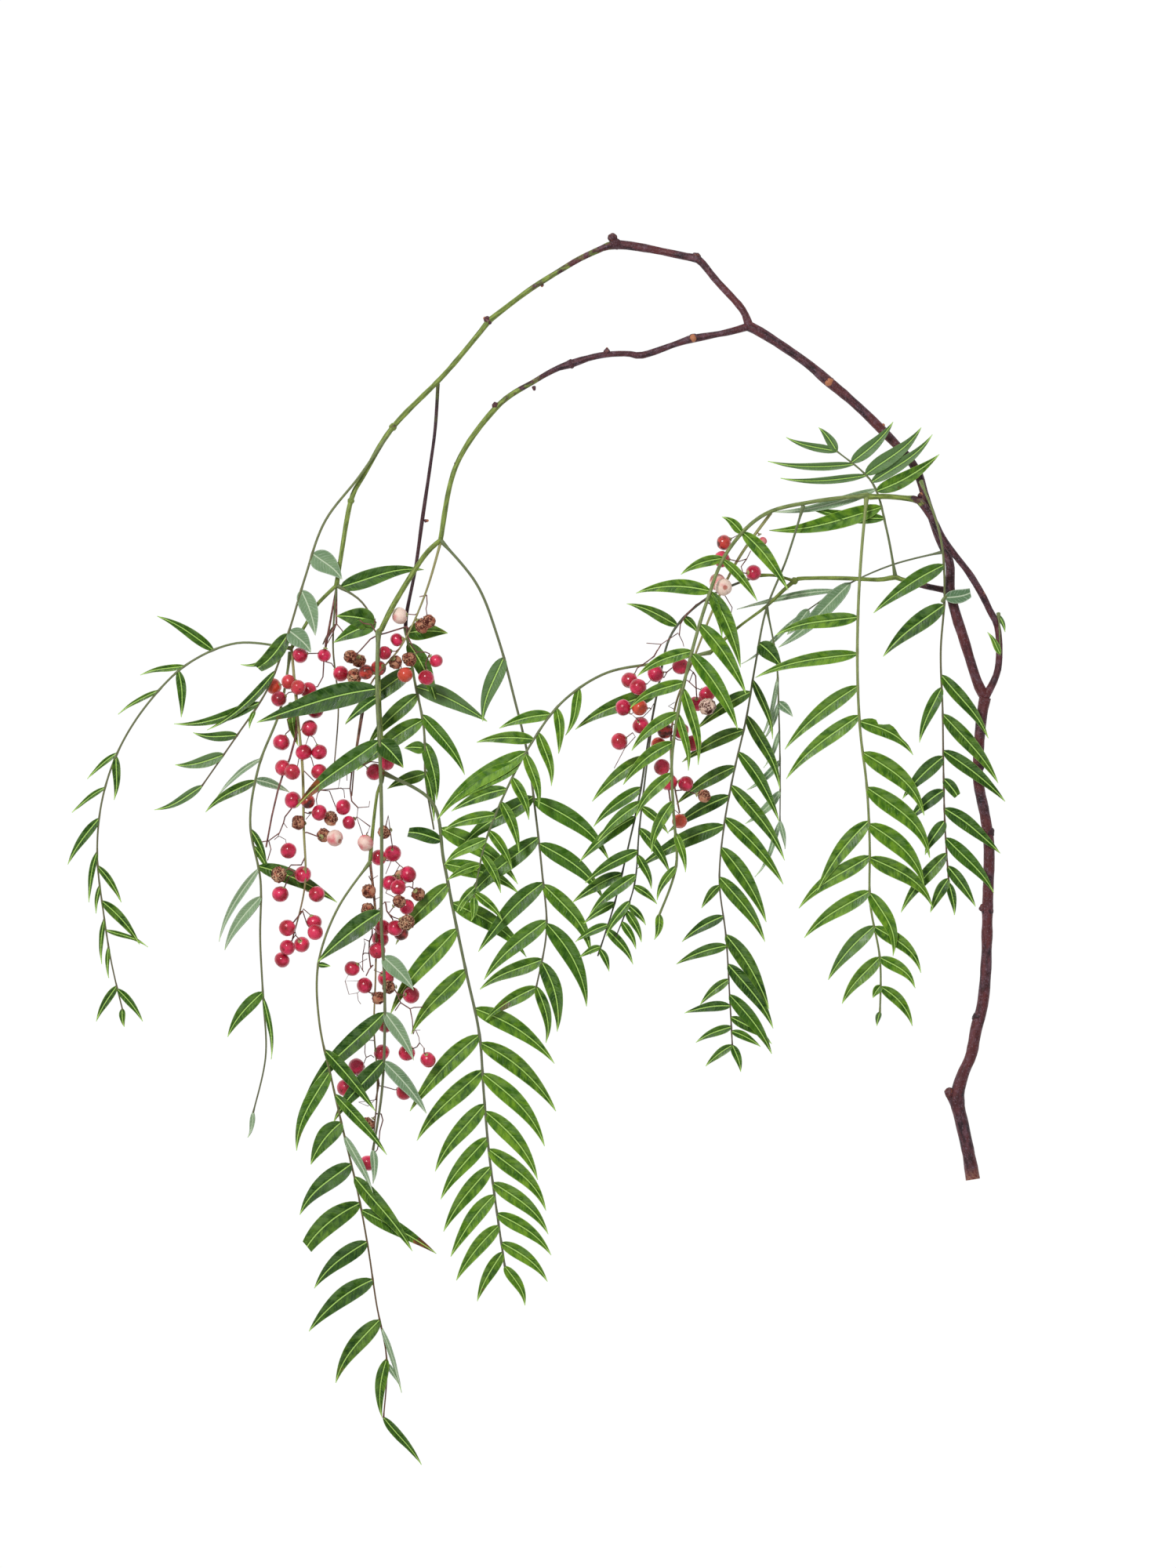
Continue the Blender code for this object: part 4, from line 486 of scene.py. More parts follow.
# What only the scene shows: slivers of leaf beside the right limbs, a scrap in front of them, a lime blade
STRAYS = {
    "stray_slivers": dict(
        stems=[([(164.6, 84), (165, 77), (165.2, 69)], (12.6, 13.2, 13.6))],
        leaflets=[(165.1, 69.5, 160.7, 77.2, 2.3, "lime"), (164.3, 83.4, 167, 77.3, 1.7, "painted_sheen")],
    ),
    "stray_scrap": dict(
        stems=[([(144.5, 88), (145.2, 89.2), (146, 90)], (17, 17.2, 17.2))],
        leaflets=[(145.4, 89.4, 154.5, 91.2, 5, "blunt", "back")],
    ),
    "stray_blade": dict(
        stems=[([(-87.5, 52), (-87, 50.5), (-86.6, 49)], (15, 15, 15))],
        leaflets=[(-86.4, 50, -84.6, 36.8, 3.4, "lime")],
    ),
}

# Each panicle: its stalk's points, its heights spread evenly along it, and where its berries hang. The loose
# one is only in the scene.
PANICLES = {
    "berries_left": dict(
        stalk=[
            (-87, 71), (-86.5, 66), (-86, 58), (-85, 50), (-84, 42), (-83.2, 34), (-83, 26), (-83.5, 18),
            (-82.8, 10), (-82, 2), (-82.6, -6), (-82.2, -14), (-83, -22), (-86, -28), (-87, -33),
        ],
        heights=(12, 16.5, 18.5, 18.5, 18.5, 18, 17, 15.5, 14, 12),
        ripe=[
            (-84, 69), (-75.5, 69, "small"), (-69.5, 62.5), (-88, 59.5, "rosy"), (-84.5, 57.5, "rosy"),
            (-81, 56.5), (-91.5, 53.5, "dark"), (-78.5, 49.5, "dark"), (-80.5, 43), (-90.5, 38),
            (-82.5, 34.5), (-77, 34.5), (-90, 29), (-86.5, 27.5), (-77, 27.5), (-86.5, 17.5), (-77, 13),
            (-88, -0.5), (-83, -9), (-91, -16), (-78, -16), (-88.5, -28), (-79, -26), (-78.5, -29.5),
            (-88.5, -35), (-83.5, -34), (-90.5, -39.5),
        ],
        pale=[(-93.5, 58, "orange"), (-71.5, 4, "split"), (-73, 11, "tan"), (-91.5, -9, "tan")],
        dried=[(-81, 17, "brown"), (-84.5, 9.5), (-75.5, 5)],
    ),
    "berries_upper": dict(
        stalk=[
            (-34, 109), (-34, 103), (-36, 97), (-39.5, 90.5), (-42, 84), (-45, 77), (-49, 71), (-54, 67),
            (-58, 62), (-60.5, 53), (-62.5, 44), (-64.5, 34), (-66, 26), (-65.5, 19),
        ],
        heights=(14, 16, 17, 17.5, 17.5, 17.5, 17.5, 17.5, 17.5),
        ripe=[
            (-49.5, 74.5, "small"), (-53.8, 69.8, "small"), (-46.5, 62, "orange"), (-39, 61),
            (-35.5, 67, "small"), (-53, 31), (-57.5, 27.5), (-68.5, 15), (-66.5, 9.5, "small"),
        ],
        pale=[(-48.5, 83, "blush"), (-64.5, 61.5, "tan")],
        dried=[
            (-40.5, 79.5), (-38, 81), (-66, 68.5), (-63, 67), (-60.5, 63, "brown"), (-56, 64.5, "brown"),
            (-50, 66.5), (-45, 67.5),
        ],
    ),
    "berries_middle": dict(
        stalk=[
            (-59, -5), (-58, -12), (-57, -22), (-57.5, -35), (-57, -48), (-57.5, -60), (-58, -72),
            (-56.5, -82), (-57.5, -92), (-58, -103),
        ],
        heights=(14, 13.5, 13, 12, 11, 10, 9, 8),
        ripe=[
            (-51, -1.5), (-56, -3), (-45.5, -9), (-52, -12), (-49, -13.5), (-46, -20.5), (-54.5, -28),
            (-50, -28), (-55.5, -32), (-56.5, -36), (-65.5, -42.5), (-61, -48.5), (-53.5, -46), (-44.5, -52),
            (-53.5, -62.5), (-55, -72.5), (-46, -72.5), (-38.5, -75), (-64, -77.5), (-68, -85), (-47, -86.5),
            (-60, -112),
        ],
        pale=[(-48, -10, "tan"), (-46, -26, "tan")],
        dried=[
            (-54, 6), (-42, -16), (-59.5, -15), (-48.5, -18.5), (-60, -21.5), (-48, -30, "brown"),
            (-52.5, -49), (-56, -53), (-60, -98),
        ],
        loose=[(-60.7, 2.2, "pale")],
    ),
    "berries_right": dict(
        stalk=[
            (83.5, 119.5), (79, 113), (74, 107), (70, 99), (65, 90), (61, 80), (57, 70), (52, 60), (50, 52),
            (47, 45), (48, 36), (48, 28), (50, 20), (51, 13),
        ],
        heights=(21, 21, 22, 24, 25, 25.5, 26, 26, 25.5, 25),
        ripe=[
            (66, 103), (77.3, 98.3), (51.3, 65), (42.5, 62.4), (33.2, 60), (36.2, 57.6), (60.7, 55),
            (57, 51.7), (31, 50.3), (37.2, 44), (51.6, 42), (29.6, 38.3), (55.7, 37.7), (44.7, 29.2),
            (47.3, 23.8), (53.2, 23.3),
        ],
        pale=[
            (64.5, 95), (66.6, 93, "split"), (60.7, 50.6, "cream"), (36.8, 50.3, "orange"),
            (43.6, 37, "orange"), (51, 10, "orange"),
        ],
        dried=[(66.8, 109, "brown"), (80.6, 109.5, "tiny"), (45.8, 42, "brown"), (59.7, 19)],
    ),
}

# Bare branchlets, which only the scene shows: their radius in millimetres and their points x, y
SPRAYS = {
    "berries_left": [
        (0.38, (-71.1, 93), (-71.1, 80.3), (-75, 74), (-75, 71.5)),
        (0.2, (-71.1, 80.3), (-69, 77.8), (-68.3, 75.4)), (0.2, (-71.1, 80.3), (-72.3, 77), (-74.3, 73.3)),
        (0.25, (-75.6, 67), (-75.9, 61.4), (-77.8, 57.9)),
        (0.4, (-85.4, 60), (-85, 50), (-85.5, 40), (-87.6, 32.2), (-90.2, 26), (-91.8, 21), (-93.9, 12),
         (-96, 0.8)), (0.2, (-88.5, 46.2), (-87.6, 42.3)), (0.2, (-85.1, 41.4), (-82.9, 42.8)),
        (0.15, (-80.6, 40.6), (-81.8, 37.2)), (0.15, (-80.6, 40.6), (-79.1, 39.8), (-77.8, 37.2)),
        (0.18, (-84.3, 32.2), (-84.8, 29.4)), (0.18, (-79.8, 32.5), (-79, 29.4)),
        (0.2, (-82.3, 27.7), (-79, 24.4)),
        (0.25, (-87.1, 14.3), (-89.3, 11.5), (-89.9, 9.2), (-91.3, 5.8), (-95.1, 3), (-97.5, 2.6)),
        (0.15, (-89.7, 9.2), (-88.5, 7.6)), (0.15, (-91.3, 5.8), (-91.9, 4.4), (-93.1, 3.4)),
        (0.13, (-91.3, 4.6), (-89.1, 3.4), (-88.9, 2)), (0.2, (-95.1, 3), (-94.3, 0), (-95.5, -4)),
        (0.25, (-81.5, 6), (-76.7, 4.2)), (0.25, (-82.2, -3), (-83.5, -5.6), (-87.1, -5.6), (-88.1, -6.8)),
        (0.3, (-85.9, -8), (-86.7, -9.6), (-87.9, -9.6), (-89.5, -13.6)), (0.3, (-83.1, -22), (-86.3, -26)),
        (0.22, (-82.9, -22.4), (-81.9, -25.6)), (0.2, (-82.9, -21.2), (-80.1, -23.6)),
        (0.2, (-86.1, -28.4), (-85.5, -30.4), (-87.5, -33.2)), (0.2, (-85.5, -30.8), (-84.3, -32)),
    ],
    "berries_upper": [
        (0.3, (-45.9, 79.2), (-49.1, 78.2), (-53.6, 76.8), (-56.4, 76.1)),
        (0.25, (-56.4, 76.1), (-58.5, 79.9), (-61.3, 80.3), (-62.7, 81.5)),
        (0.15, (-57.8, 78.5), (-57.1, 82)),
        (0.25, (-56.4, 76.1), (-58.9, 74.7), (-62.4, 70.8), (-63.4, 69.8), (-66.6, 69.2)),
        (0.25, (-45.9, 79.2), (-45.9, 76.4), (-43.8, 71.9), (-42.4, 70.1), (-39.3, 70.1)),
        (0.2, (-38.9, 90.4), (-41.4, 89.8)),
        (0.2, (-38.9, 90.4), (-38.7, 87.3), (-39.1, 85.5), (-38.7, 83.1)),
        (0.2, (-43.1, 83.4), (-45.5, 83.6)),
        (0.3, (-61, 51.2), (-63.3, 37.8), (-65.5, 27.2), (-66.1, 21.6), (-65.5, 17.1), (-63.3, 14.8)),
        (0.15, (-66.1, 21.6), (-70.3, 21.6), (-69.7, 24.9)), (0.15, (-69.3, 21.8), (-68.3, 21), (-68, 18.2)),
        (0.15, (-67.2, 27.2), (-67.2, 24.4)), (0.15, (-63.3, 14.8), (-59.4, 15.1), (-59.1, 17.1)),
        (0.13, (-63.3, 14.8), (-63.6, 11.5), (-58.8, 8.1)), (0.2, (-76.7, 21), (-73.4, 20.7), (-71.1, 14.8)),
        (0.2, (-77.6, 19.9), (-78.1, 17.6)), (0.15, (-77.8, 15.4), (-81.8, 10.6)),
    ],
    "berries_middle": [
        (0.24, (-52.5, 12), (-51.9, 6.8), (-51.1, 1.2)), (0.15, (-51.5, -4), (-53.5, -8.8)),
        (0.18, (-50.3, -4), (-48.5, -5.8), (-47.1, -6.8)), (0.15, (-48.7, -6), (-50.5, -9.2)),
        (0.2, (-45.5, -8.8), (-43.7, -11.8), (-43.9, -13.8)), (0.18, (-53.5, -15.6), (-49.9, -17.4)),
        (0.13, (-56.7, -17.6), (-54.7, -16.6)), (0.13, (-58, -10.5), (-56.3, -9.4)),
        (0.2, (-59.5, -9.6), (-58.3, -12)), (0.15, (-56.1, -21.4), (-53.9, -18.8), (-51.9, -18.8)),
        (0.3, (-53.5, -19.2), (-53.1, -22), (-51.1, -24.8)), (0.2, (-49.9, -19.6), (-52.3, -22.8)),
        (0.15, (-63.9, 11.6), (-59.1, 8), (-59.9, 6)),
        (0.3, (-58.3, -28), (-58.3, -30.4), (-59.3, -32.8), (-59.5, -36.8), (-58.9, -42)),
        (0.18, (-61.3, -32), (-60.9, -33.6), (-61.7, -37.6), (-61.7, -43.2)),
        (0.2, (-61.1, -37), (-57.9, -37.2), (-55.5, -38)), (0.15, (-63.1, -40.6), (-60.1, -39)),
        (0.25, (-58, -41.2), (-59.4, -42.8), (-60.5, -45.1)), (0.15, (-62.2, -42.3), (-61.3, -43.7)),
        (0.15, (-57.7, -43.1), (-55.4, -44)), (0.1, (-68, -46.9), (-63.3, -46.9)),
        (0.12, (-66.6, -51.7), (-63.6, -51.2), (-62.7, -50.4)),
        (0.12, (-63.6, -51.5), (-63.3, -53.8), (-62.4, -55.2)), (0.25, (-59.9, -50.7), (-57.1, -51.8)),
        (0.25, (-51, -49), (-49.3, -51.5), (-48.2, -54.6), (-50.1, -57.4)),
        (0.22, (-48.2, -54.6), (-44.8, -56.8), (-43.4, -56.3), (-40.3, -56.2)),
        (0.2, (-44.8, -56.8), (-44, -60.8), (-43.7, -65.8)), (0.13, (-43.1, -64.4), (-41.2, -64.4)),
        (0.15, (-42.8, -64.4), (-41.7, -66.9), (-41.4, -68.9), (-39.8, -70.8)),
        (0.18, (-60.8, -68), (-61, -72.5), (-60.5, -74.2), (-61.9, -77.6)),
        (0.18, (-60.5, -74.2), (-58.8, -73.4), (-57.7, -74.2)),
        (0.2, (-56, -84.3), (-54.3, -84.6), (-50.4, -85.7), (-48.7, -85.7)),
        (0.35, (-56.3, -81.8), (-56, -83.7), (-57.1, -89.3)),
        (0.13, (-63.3, -90.2), (-59.9, -91.6), (-57.7, -89.6)),
        (0.25, (-55.2, -94.4), (-54.6, -96.6), (-55.7, -100.5), (-56, -104.4)),
    ],
    "berries_right": [
        (0.15, (69.7, 110.6), (72.1, 111.8)), (0.2, (68.5, 103), (72.1, 102.2), (74.9, 103.2), (76.3, 106)),
        (0.2, (74.9, 103.2), (72.9, 100.4), (73.5, 98.2)), (0.18, (66.5, 91.2), (69.7, 85.8), (68.9, 82.4)),
        (0.25, (59.7, 88.4), (56.9, 86.8), (53.3, 83.2), (51.3, 80), (50.9, 76)),
        (0.2, (50.5, 76.8), (44.5, 72.8), (39.3, 73.2)), (0.2, (44.5, 72.8), (42.1, 68.8), (39.3, 66.4)),
        (0.15, (50.9, 76), (52.1, 73.6), (52.5, 72)), (0.25, (43.2, 70.8), (42, 68.5), (38.1, 65.7)),
        (0.25, (45.5, 61), (46.5, 62.9), (48.8, 64.8)), (0.2, (53.9, 59.9), (56.7, 57.3), (59.3, 56.4)),
        (0.2, (55.8, 62.9), (54.4, 59.2)), (0.25, (56.7, 61.5), (57, 55)), (0.15, (39.5, 58.7), (40.6, 59.9)),
        (0.15, (33.9, 48), (35.5, 46.6)), (0.15, (38.1, 47), (40.9, 49.8), (41.8, 51.7)),
        (0.2, (32, 39.6), (34.3, 41.4)), (0.15, (35.3, 40), (31.5, 35.8), (27.8, 28.8)),
        (0.15, (47, 50.8), (49.3, 52.2)), (0.3, (46.9, 23.2), (47.9, 15.8), (50.2, 9.2)),
        (0.15, (48.3, 14.8), (52.1, 11.6)),
    ],
}

# Each panicle's stalk: its radii in millimetres and how tan-green it is, spread along it
PANICLE_STALKS = {
    "berries_left": ((0.5, 0.5, 0.5, 0.5, 0.42, 0.32, 0.26), (0.6, 0.9, 1, 1, 0.9, 0.5, 0.1)),
    "berries_upper": ((0.52, 0.4, 0.34, 0.32, 0.3, 0.28, 0.24), (0.9, 0.7, 0.9, 0.5, 0.2, 0.2, 0.1)),
    "berries_middle": ((0.5, 0.45, 0.32, 0.3, 0.3, 0.26), (0.1, 0.15, 0.5, 0.6, 0.4, 0.2)),
    "berries_right": ((0.58, 0.5, 0.42, 0.38, 0.34, 0.3), (1, 0.95, 0.8, 0.6, 0.3, 0.1)),
}

# How woody each limb is, spread along it: 1 is brown bark and 0 a green twig
LIMB_AGES = {
    "main": (1, 1), "left_fork": (1, 1), "right_fork": (1, 1, 1, 0.9, 0.6, 0.05),
    "middle_twig": (1, 0.25, 0, 0, 0, 0), "middle_side": (0.2, 0.1),
    "outer_arch": (1, 1, 1, 0.55, 0.42, 0.35, 0.2, 0.15, 0.1, 0, 0), "outer_twig": (0.1, 0.1),
    "dark_twig": (0.45, 0.75, 0.8, 0.8), "inner_arch": (1, 1, 1, 0.65, 0.3, 0.1, 0),
    "inner_twig": (0, 0.15, 0.3), "hanging_stem": (0.2, 0.1),
}

# Stubs of buds and lost twigs: x, y, height, the way they point, their length and radius in millimetres
STUBS = [
    (28.3, 216.5, 1.7, -1.3, 3, 3.3, 1.25), (57, 211, 4.2, 0.7, 1, 1.2, 1.2),
    (25.2, 177.8, 10.2, 0.1, 1, 0.8, 0.6), (-0.8, 164.6, 11, 0.2, -1, 1.2, 0.7),
    (-14, 157.2, 11.6, -1, 0.6, 1.2, 0.9), (-17.6, 189, 3.3, -1, 0.5, 1.2, 0.8),
    (2.2, 201.5, 1.8, -0.3, -1, 0.8, 0.6), (158.4, 90.5, 14.6, 0.8, 0.6, 1.2, 1.1),
    (149.2, -91, 3.4, -0.55, 0.9, 5.6, 1.35), (136.5, 125.5, 18, 0.4, 1, 1.2, 0.9),
    (160, -21, 6.3, -1, -0.3, 1.2, 1.2), (158, 27, 8, -1, 0.2, 1.2, 0.9),
    (-51.5, 151, 7, 0.9, -0.5, 1.2, 0.7), (-39.6, 117, 7, 1, 0.1, 1.2, 0.6),
    (-28.8, 137, 12.4, 1, 0.2, 1.2, 0.7), (123, 150.5, 11, 0.8, 0.6, 1.2, 0.9),
    (90, 177, 10, 0.6, 0.8, 1.2, 0.9), (131, 141, 11.3, -0.8, -0.6, 1.2, 0.8),
]

# Darker swellings of the woody stem: x, y, height and radius in millimetres
DARK_RINGS = [
    (161.2, 6, 7.2, 2.25), (160.9, -22, 6.2, 2.1), (158.2, 30, 8.2, 2.05), (157.8, -60, 4.8, 2.15),
    (146.6, 92, 11.2, 1.85),
]

# Leaf scars: x, y, height and radius in millimetres, how woody and how tan they are
SCARS = [
    (-55.6, 77.6, 20.5, 1.0, 0.2, 0.4), (118.7, 125.4, 19, 1.1, 0, 0.3), (-54.5, 27, 13, 0.95, 0.5, 0.5),
    (92, 95.5, 9.8, 1.3, 0.3, 0.3), (-51, 150.5, 7, 1.4, 0.4, 0.3), (-66, 124, 10, 1.2, 0.2, 0.2),
    (104.4, 166.3, 11.5, 1.55, 0.9, 1), (56, 182, 10.2, 1.4, 0.9, 0.8), (12.3, 172.8, 10.6, 1.65, 0.9, 0.1),
    (28.3, 216, 2, 2, 0.95, 0.1), (-17, 188.3, 3.4, 1.3, 0.9, 0.2),
]

# Berries' looks: their skin, their size, how orange or rosy they are, and how bruised
BERRY_LOOKS = {
    "ripe": ("ripe", 1.0, (0, 0, 0)), "orange": ("ripe", 0.96, (0.75, 0, 0)),
    "dark": ("ripe", 1.0, (0, 0.6, 0)), "brown": ("ripe", 0.92, (0.45, 0.95, 0)),
    "pale": ("pale", 1.0, (0.45, 0, 0)), "blush": ("pale", 1.08, (0.1, 0, 0)),
    "split": ("pale", 1.0, (0.25, 0, 0)), "tan": ("husk", 0.95, (0, 0, 0)),
    "dried": ("husk", 0.85, (0.8, 0.25, 0)), "cream": ("husk", 1.05, (-1, 0, 0)),
    "tiny": ("pale", 0.5, (0.7, 0, 0)), "small": ("ripe", 0.8, (0, 0, 0)),
    "rosy": ("ripe", 0.95, (0.3, 0, 0)),
}

# Leaflets' looks: how light, how fresh and lime at the edge, and how rusty or, below zero, how grey with
# painted sheen. A back is turned over, a blunt one has lost its tip, and a bitten one has lost bits of its
# outer margin.
LOOKS = {
    "usual": (0.5, 0.5, 0.1), "fresh": (0.72, 0.95, 0.05), "bright": (0.95, 1.0, 0.0),
    "dark": (0.08, 0.2, 0.15), "mid": (0.35, 0.4, 0.1), "rust": (0.3, 0.4, 0.9), "pale": (0.9, 0.6, -0.3),
    "back": (0.5, 0.2, 0.0), "painted_sheen": (0.6, 0.1, -0.6), "blunt": (0.3, 0.4, 0.1), "bitten": (0.8, 0.7, 0.1),
    "lime": (1.3, 1.3, -0.1),
}

# Each frond's look, how grey its stalk is at its start and its end, how stout it is, and how red it ends
FROND_LOOKS = {
    "frond_far_left": ("mid", 0.5, 0.9, 0.85, 0.4), "frond_left_arch": ("mid", 0.3, 0.9, 0.95, 0.5),
    "frond_left_hanging": ("mid", 0.3, 0.9, 0.95, 0.2), "frond_centre_left": ("dark", 0.3, 0.9, 1.4, 0.2),
    "leafy_stem_upper_left": ("mid", 0.6, 0.9, 0.9, 0.6), "frond_low_left": ("mid", 0.2, 0.6, 0.85, 0.95),
    "frond_low_centre": ("fresh", 0.6, 1.1, 1.2, 0.15), "frond_upper_left": ("usual", 0.5, 0.9, 1.0, 0.3),
    "frond_short_centre": ("fresh", 0.4, 0.7, 1.0, 0.1), "frond_centre": ("usual", 0.7, 1.1, 1.0, 0.3),
    "frond_front_right": ("fresh", 0.0, 0.25, 1.45, 0.05), "frond_inner_right": ("usual", 1.2, 1.9, 0.9, 0.1),
    "frond_mid_right": ("mid", 0.7, 1.4, 0.8, 0.4), "frond_pale_right": ("back", 0.6, 0.9, 0.7, 0.2),
    "frond_right": ("fresh", -0.35, 0.1, 1.1, 0.1), "frond_far_right": ("mid", 0.1, 1.5, 0.85, 0.65),
    "tuft_upper_right": ("painted_sheen", 0.6, 0.6, 0.9, 0.1), "tuft_pale_right": ("back", 0.8, 1.0, 0.7, 0.2),
    "stray_slivers": ("lime", 0.3, 0.3, 0.6, 0), "stray_scrap": ("back", 0.3, 0.3, 0.6, 0),
    "stray_blade": ("lime", 0.3, 0.3, 0.6, 0),
}


def paint(red, green, blue):
    """A linear colour from a display colour of 0 to 255."""
    return tuple(((part / 255 + 0.055) / 1.055) ** 2.4 for part in (red, green, blue))


LEAF_DARK = paint(26, 66, 6)
LEAF_MID = paint(70, 122, 16)
LEAF_BRIGHT = paint(124, 166, 36)
# Painted sheen colour, grey-green
LEAF_SHEEN = paint(104, 134, 88)
# Painted shade beside the midrib
LEAF_RIB_SHADE = paint(30, 60, 8)
LEAF_VEIN = paint(118, 156, 70)
LIME = paint(168, 208, 84)
RIB = paint(184, 226, 116)
RUST = paint(150, 82, 40)
RUST_DARK = paint(92, 66, 32)
BACK_DARK = paint(94, 128, 90)
BACK_PALE = paint(156, 184, 140)
BACK_VEIN = paint(190, 208, 184)
BACK_RIB = paint(208, 224, 192)
STALK_DARK = paint(88, 106, 56)
STALK_GREEN = paint(150, 166, 98)
STALK_GREY = paint(98, 106, 86)
STALK_RED = paint(104, 56, 42)
STALK_TAN = paint(176, 184, 118)
STALK_DEEP = paint(44, 52, 36)
BARK_DEEP = paint(34, 14, 24)
BARK_MID = paint(94, 48, 54)
BARK_PALE = paint(156, 130, 150)
BARK_WARM = paint(106, 38, 36)
TWIG_GREEN = paint(146, 166, 74)
TWIG_DEEP = paint(84, 102, 42)
KNOT_TAN = paint(196, 126, 86)
CUT_WOOD = paint(158, 112, 92)
BERRY_DEEP = paint(160, 10, 44)
BERRY_MID = paint(232, 44, 96)
BERRY_ORANGE = paint(216, 84, 48)
BERRY_SCAR = paint(84, 34, 28)
SHELL_PINK = paint(222, 96, 108)
SHELL_PALE = paint(250, 222, 208)
HUSK_TAN = paint(224, 182, 144)
HUSK_ROSE = paint(184, 96, 76)
HUSK_DARK = paint(88, 38, 28)
PEDICEL = paint(136, 84, 74)
PEDICEL_TAN = paint(158, 158, 98)

# Patches on the bark: the noise's scale and detail, where they fade in, how strong they are and their colour.
# The last are flecks that stand out.
BARK_PATCHES = [
    (330, 2, 0.56, 0.74, 0.35, BARK_WARM), (55, 2, 0.48, 0.62, 0.5, BARK_WARM),
    (460, 3, 0.5, 0.7, 0.16, BARK_PALE), (1700, 2, 0.56, 0.68, 0.32, BARK_PALE),
]

# Each skin of a berry: its material's place, how rough and how fine its dents are, and how deep its poles
BERRY_SKINS = {"ripe": (0, 0.025, 1.3, 0.06), "pale": (1, 0.06, 1.3, 0.16), "husk": (2, 0.2, 2.6, 0.16)}


class Finish:
    """A material whose nodes are added one after another, and its colours laid one over another."""

    def __init__(self, name, roughness, **sockets):
        self.material = bpy.data.materials.new(name)
        self.material.use_nodes = True
        self.tree = self.material.node_tree
        self.skin = self.tree.nodes["Principled BSDF"]
        self.colour = None
        for socket, value in {"Roughness": roughness, **sockets}.items():
            self.skin.inputs[socket.replace("_", " ")].default_value = value

    def add(self, kind, inputs, output=0, **settings):
        made = self.tree.nodes.new("ShaderNode" + kind)
        for name, value in settings.items():
            setattr(made, name, value)
        for socket, value in inputs.items():
            if isinstance(value, bpy.types.NodeSocket):
                self.tree.links.new(value, made.inputs[socket])
            else:
                made.inputs[socket].default_value = value
        return made.outputs[output]

    def maths(self, operation, *values):
        return self.add("Math", dict(enumerate(values)), operation=operation)

    def times(self, first, second):
        return self.maths("MULTIPLY", first, second)

    def plus(self, first, second):
        return self.maths("ADD", first, second)

    def less(self, first, second):
        return self.maths("SUBTRACT", first, second)

    def line(self, value, slope, start):
        return self.maths("MULTIPLY_ADD", value, slope, start)

    def between(self, value, low, high, first=0.0, last=1.0):
        """A smooth step, from the first result where the value is low to the last where it is high."""
        inputs = {0: value, 1: low, 2: high, 3: first, 4: last}
        return self.add("MapRange", inputs, interpolation_type="SMOOTHSTEP")

    def three(self, vector):
        parts = self.add("SeparateXYZ", {0: vector}).node.outputs
        return parts[0], parts[1], parts[2]

    def attribute(self, name):
        return self.three(self.add("Attribute", {}, 1, attribute_name=name))

    def own_map(self, scale=(1, 1, 1)):
        """The piece's own map: millimetres along and across it."""
        held = self.add("UVMap", {}, uv_map="UVMap")
        return self.add("Mapping", {"Vector": held, "Scale": scale})

    def noise(self, scale, detail, vector=None):
        where = vector or self.add("TexCoord", {}, 3)
        return self.add("TexNoise", {"Vector": where, "Scale": scale, "Detail": detail})

    def cells(self, scale):
        where = self.add("TexCoord", {}, 3)
        return self.add("TexVoronoi", {"Vector": where, "Scale": scale}, feature="DISTANCE_TO_EDGE")

    def bump(self, height, distance, strength):
        return self.add("Bump", {"Strength": strength, "Distance": distance, "Height": height})

    def mix(self, factor, first, second):
        first, second = [(*c, 1) if isinstance(c, tuple) else c for c in (first, second)]
        return self.add("Mix", {0: factor, 6: first, 7: second}, 2, data_type="RGBA")

    def over(self, factor, colour):
        """Lays a colour over those so far."""
        self.colour = self.mix(factor, self.colour, colour)

    def done(self, roughness=None, normal=None):
        for socket, value in (("Base Color", self.colour), ("Roughness", roughness), ("Normal", normal)):
            if value:
                self.tree.links.new(value, self.skin.inputs[socket])
        return self.material


def slanted(leaf):
    """The way along a leaf, drawn back at a slant from its midrib, and the way across it."""
    along, across, _ = leaf.three(leaf.own_map())
    return leaf.less(along, leaf.times(leaf.maths("ABSOLUTE", across), VEIN_SLANT)), across


def side_veins(leaf):
    """Fine broken veins that leave the midrib at a slant, a little over a millimetre apart."""
    slant, _ = slanted(leaf)
    wander = leaf.times(leaf.noise(340, 2), 1.6)
    turns = leaf.maths("FRACT", leaf.maths("DIVIDE", leaf.plus(slant, wander), VEIN_GAP))
    lines = leaf.between(leaf.maths("ABSOLUTE", leaf.less(turns, 0.5)), 0.2, 0.03)
    return leaf.times(lines, leaf.between(leaf.noise(520, 2), 0.4, 0.6, 0.15, 1.0))


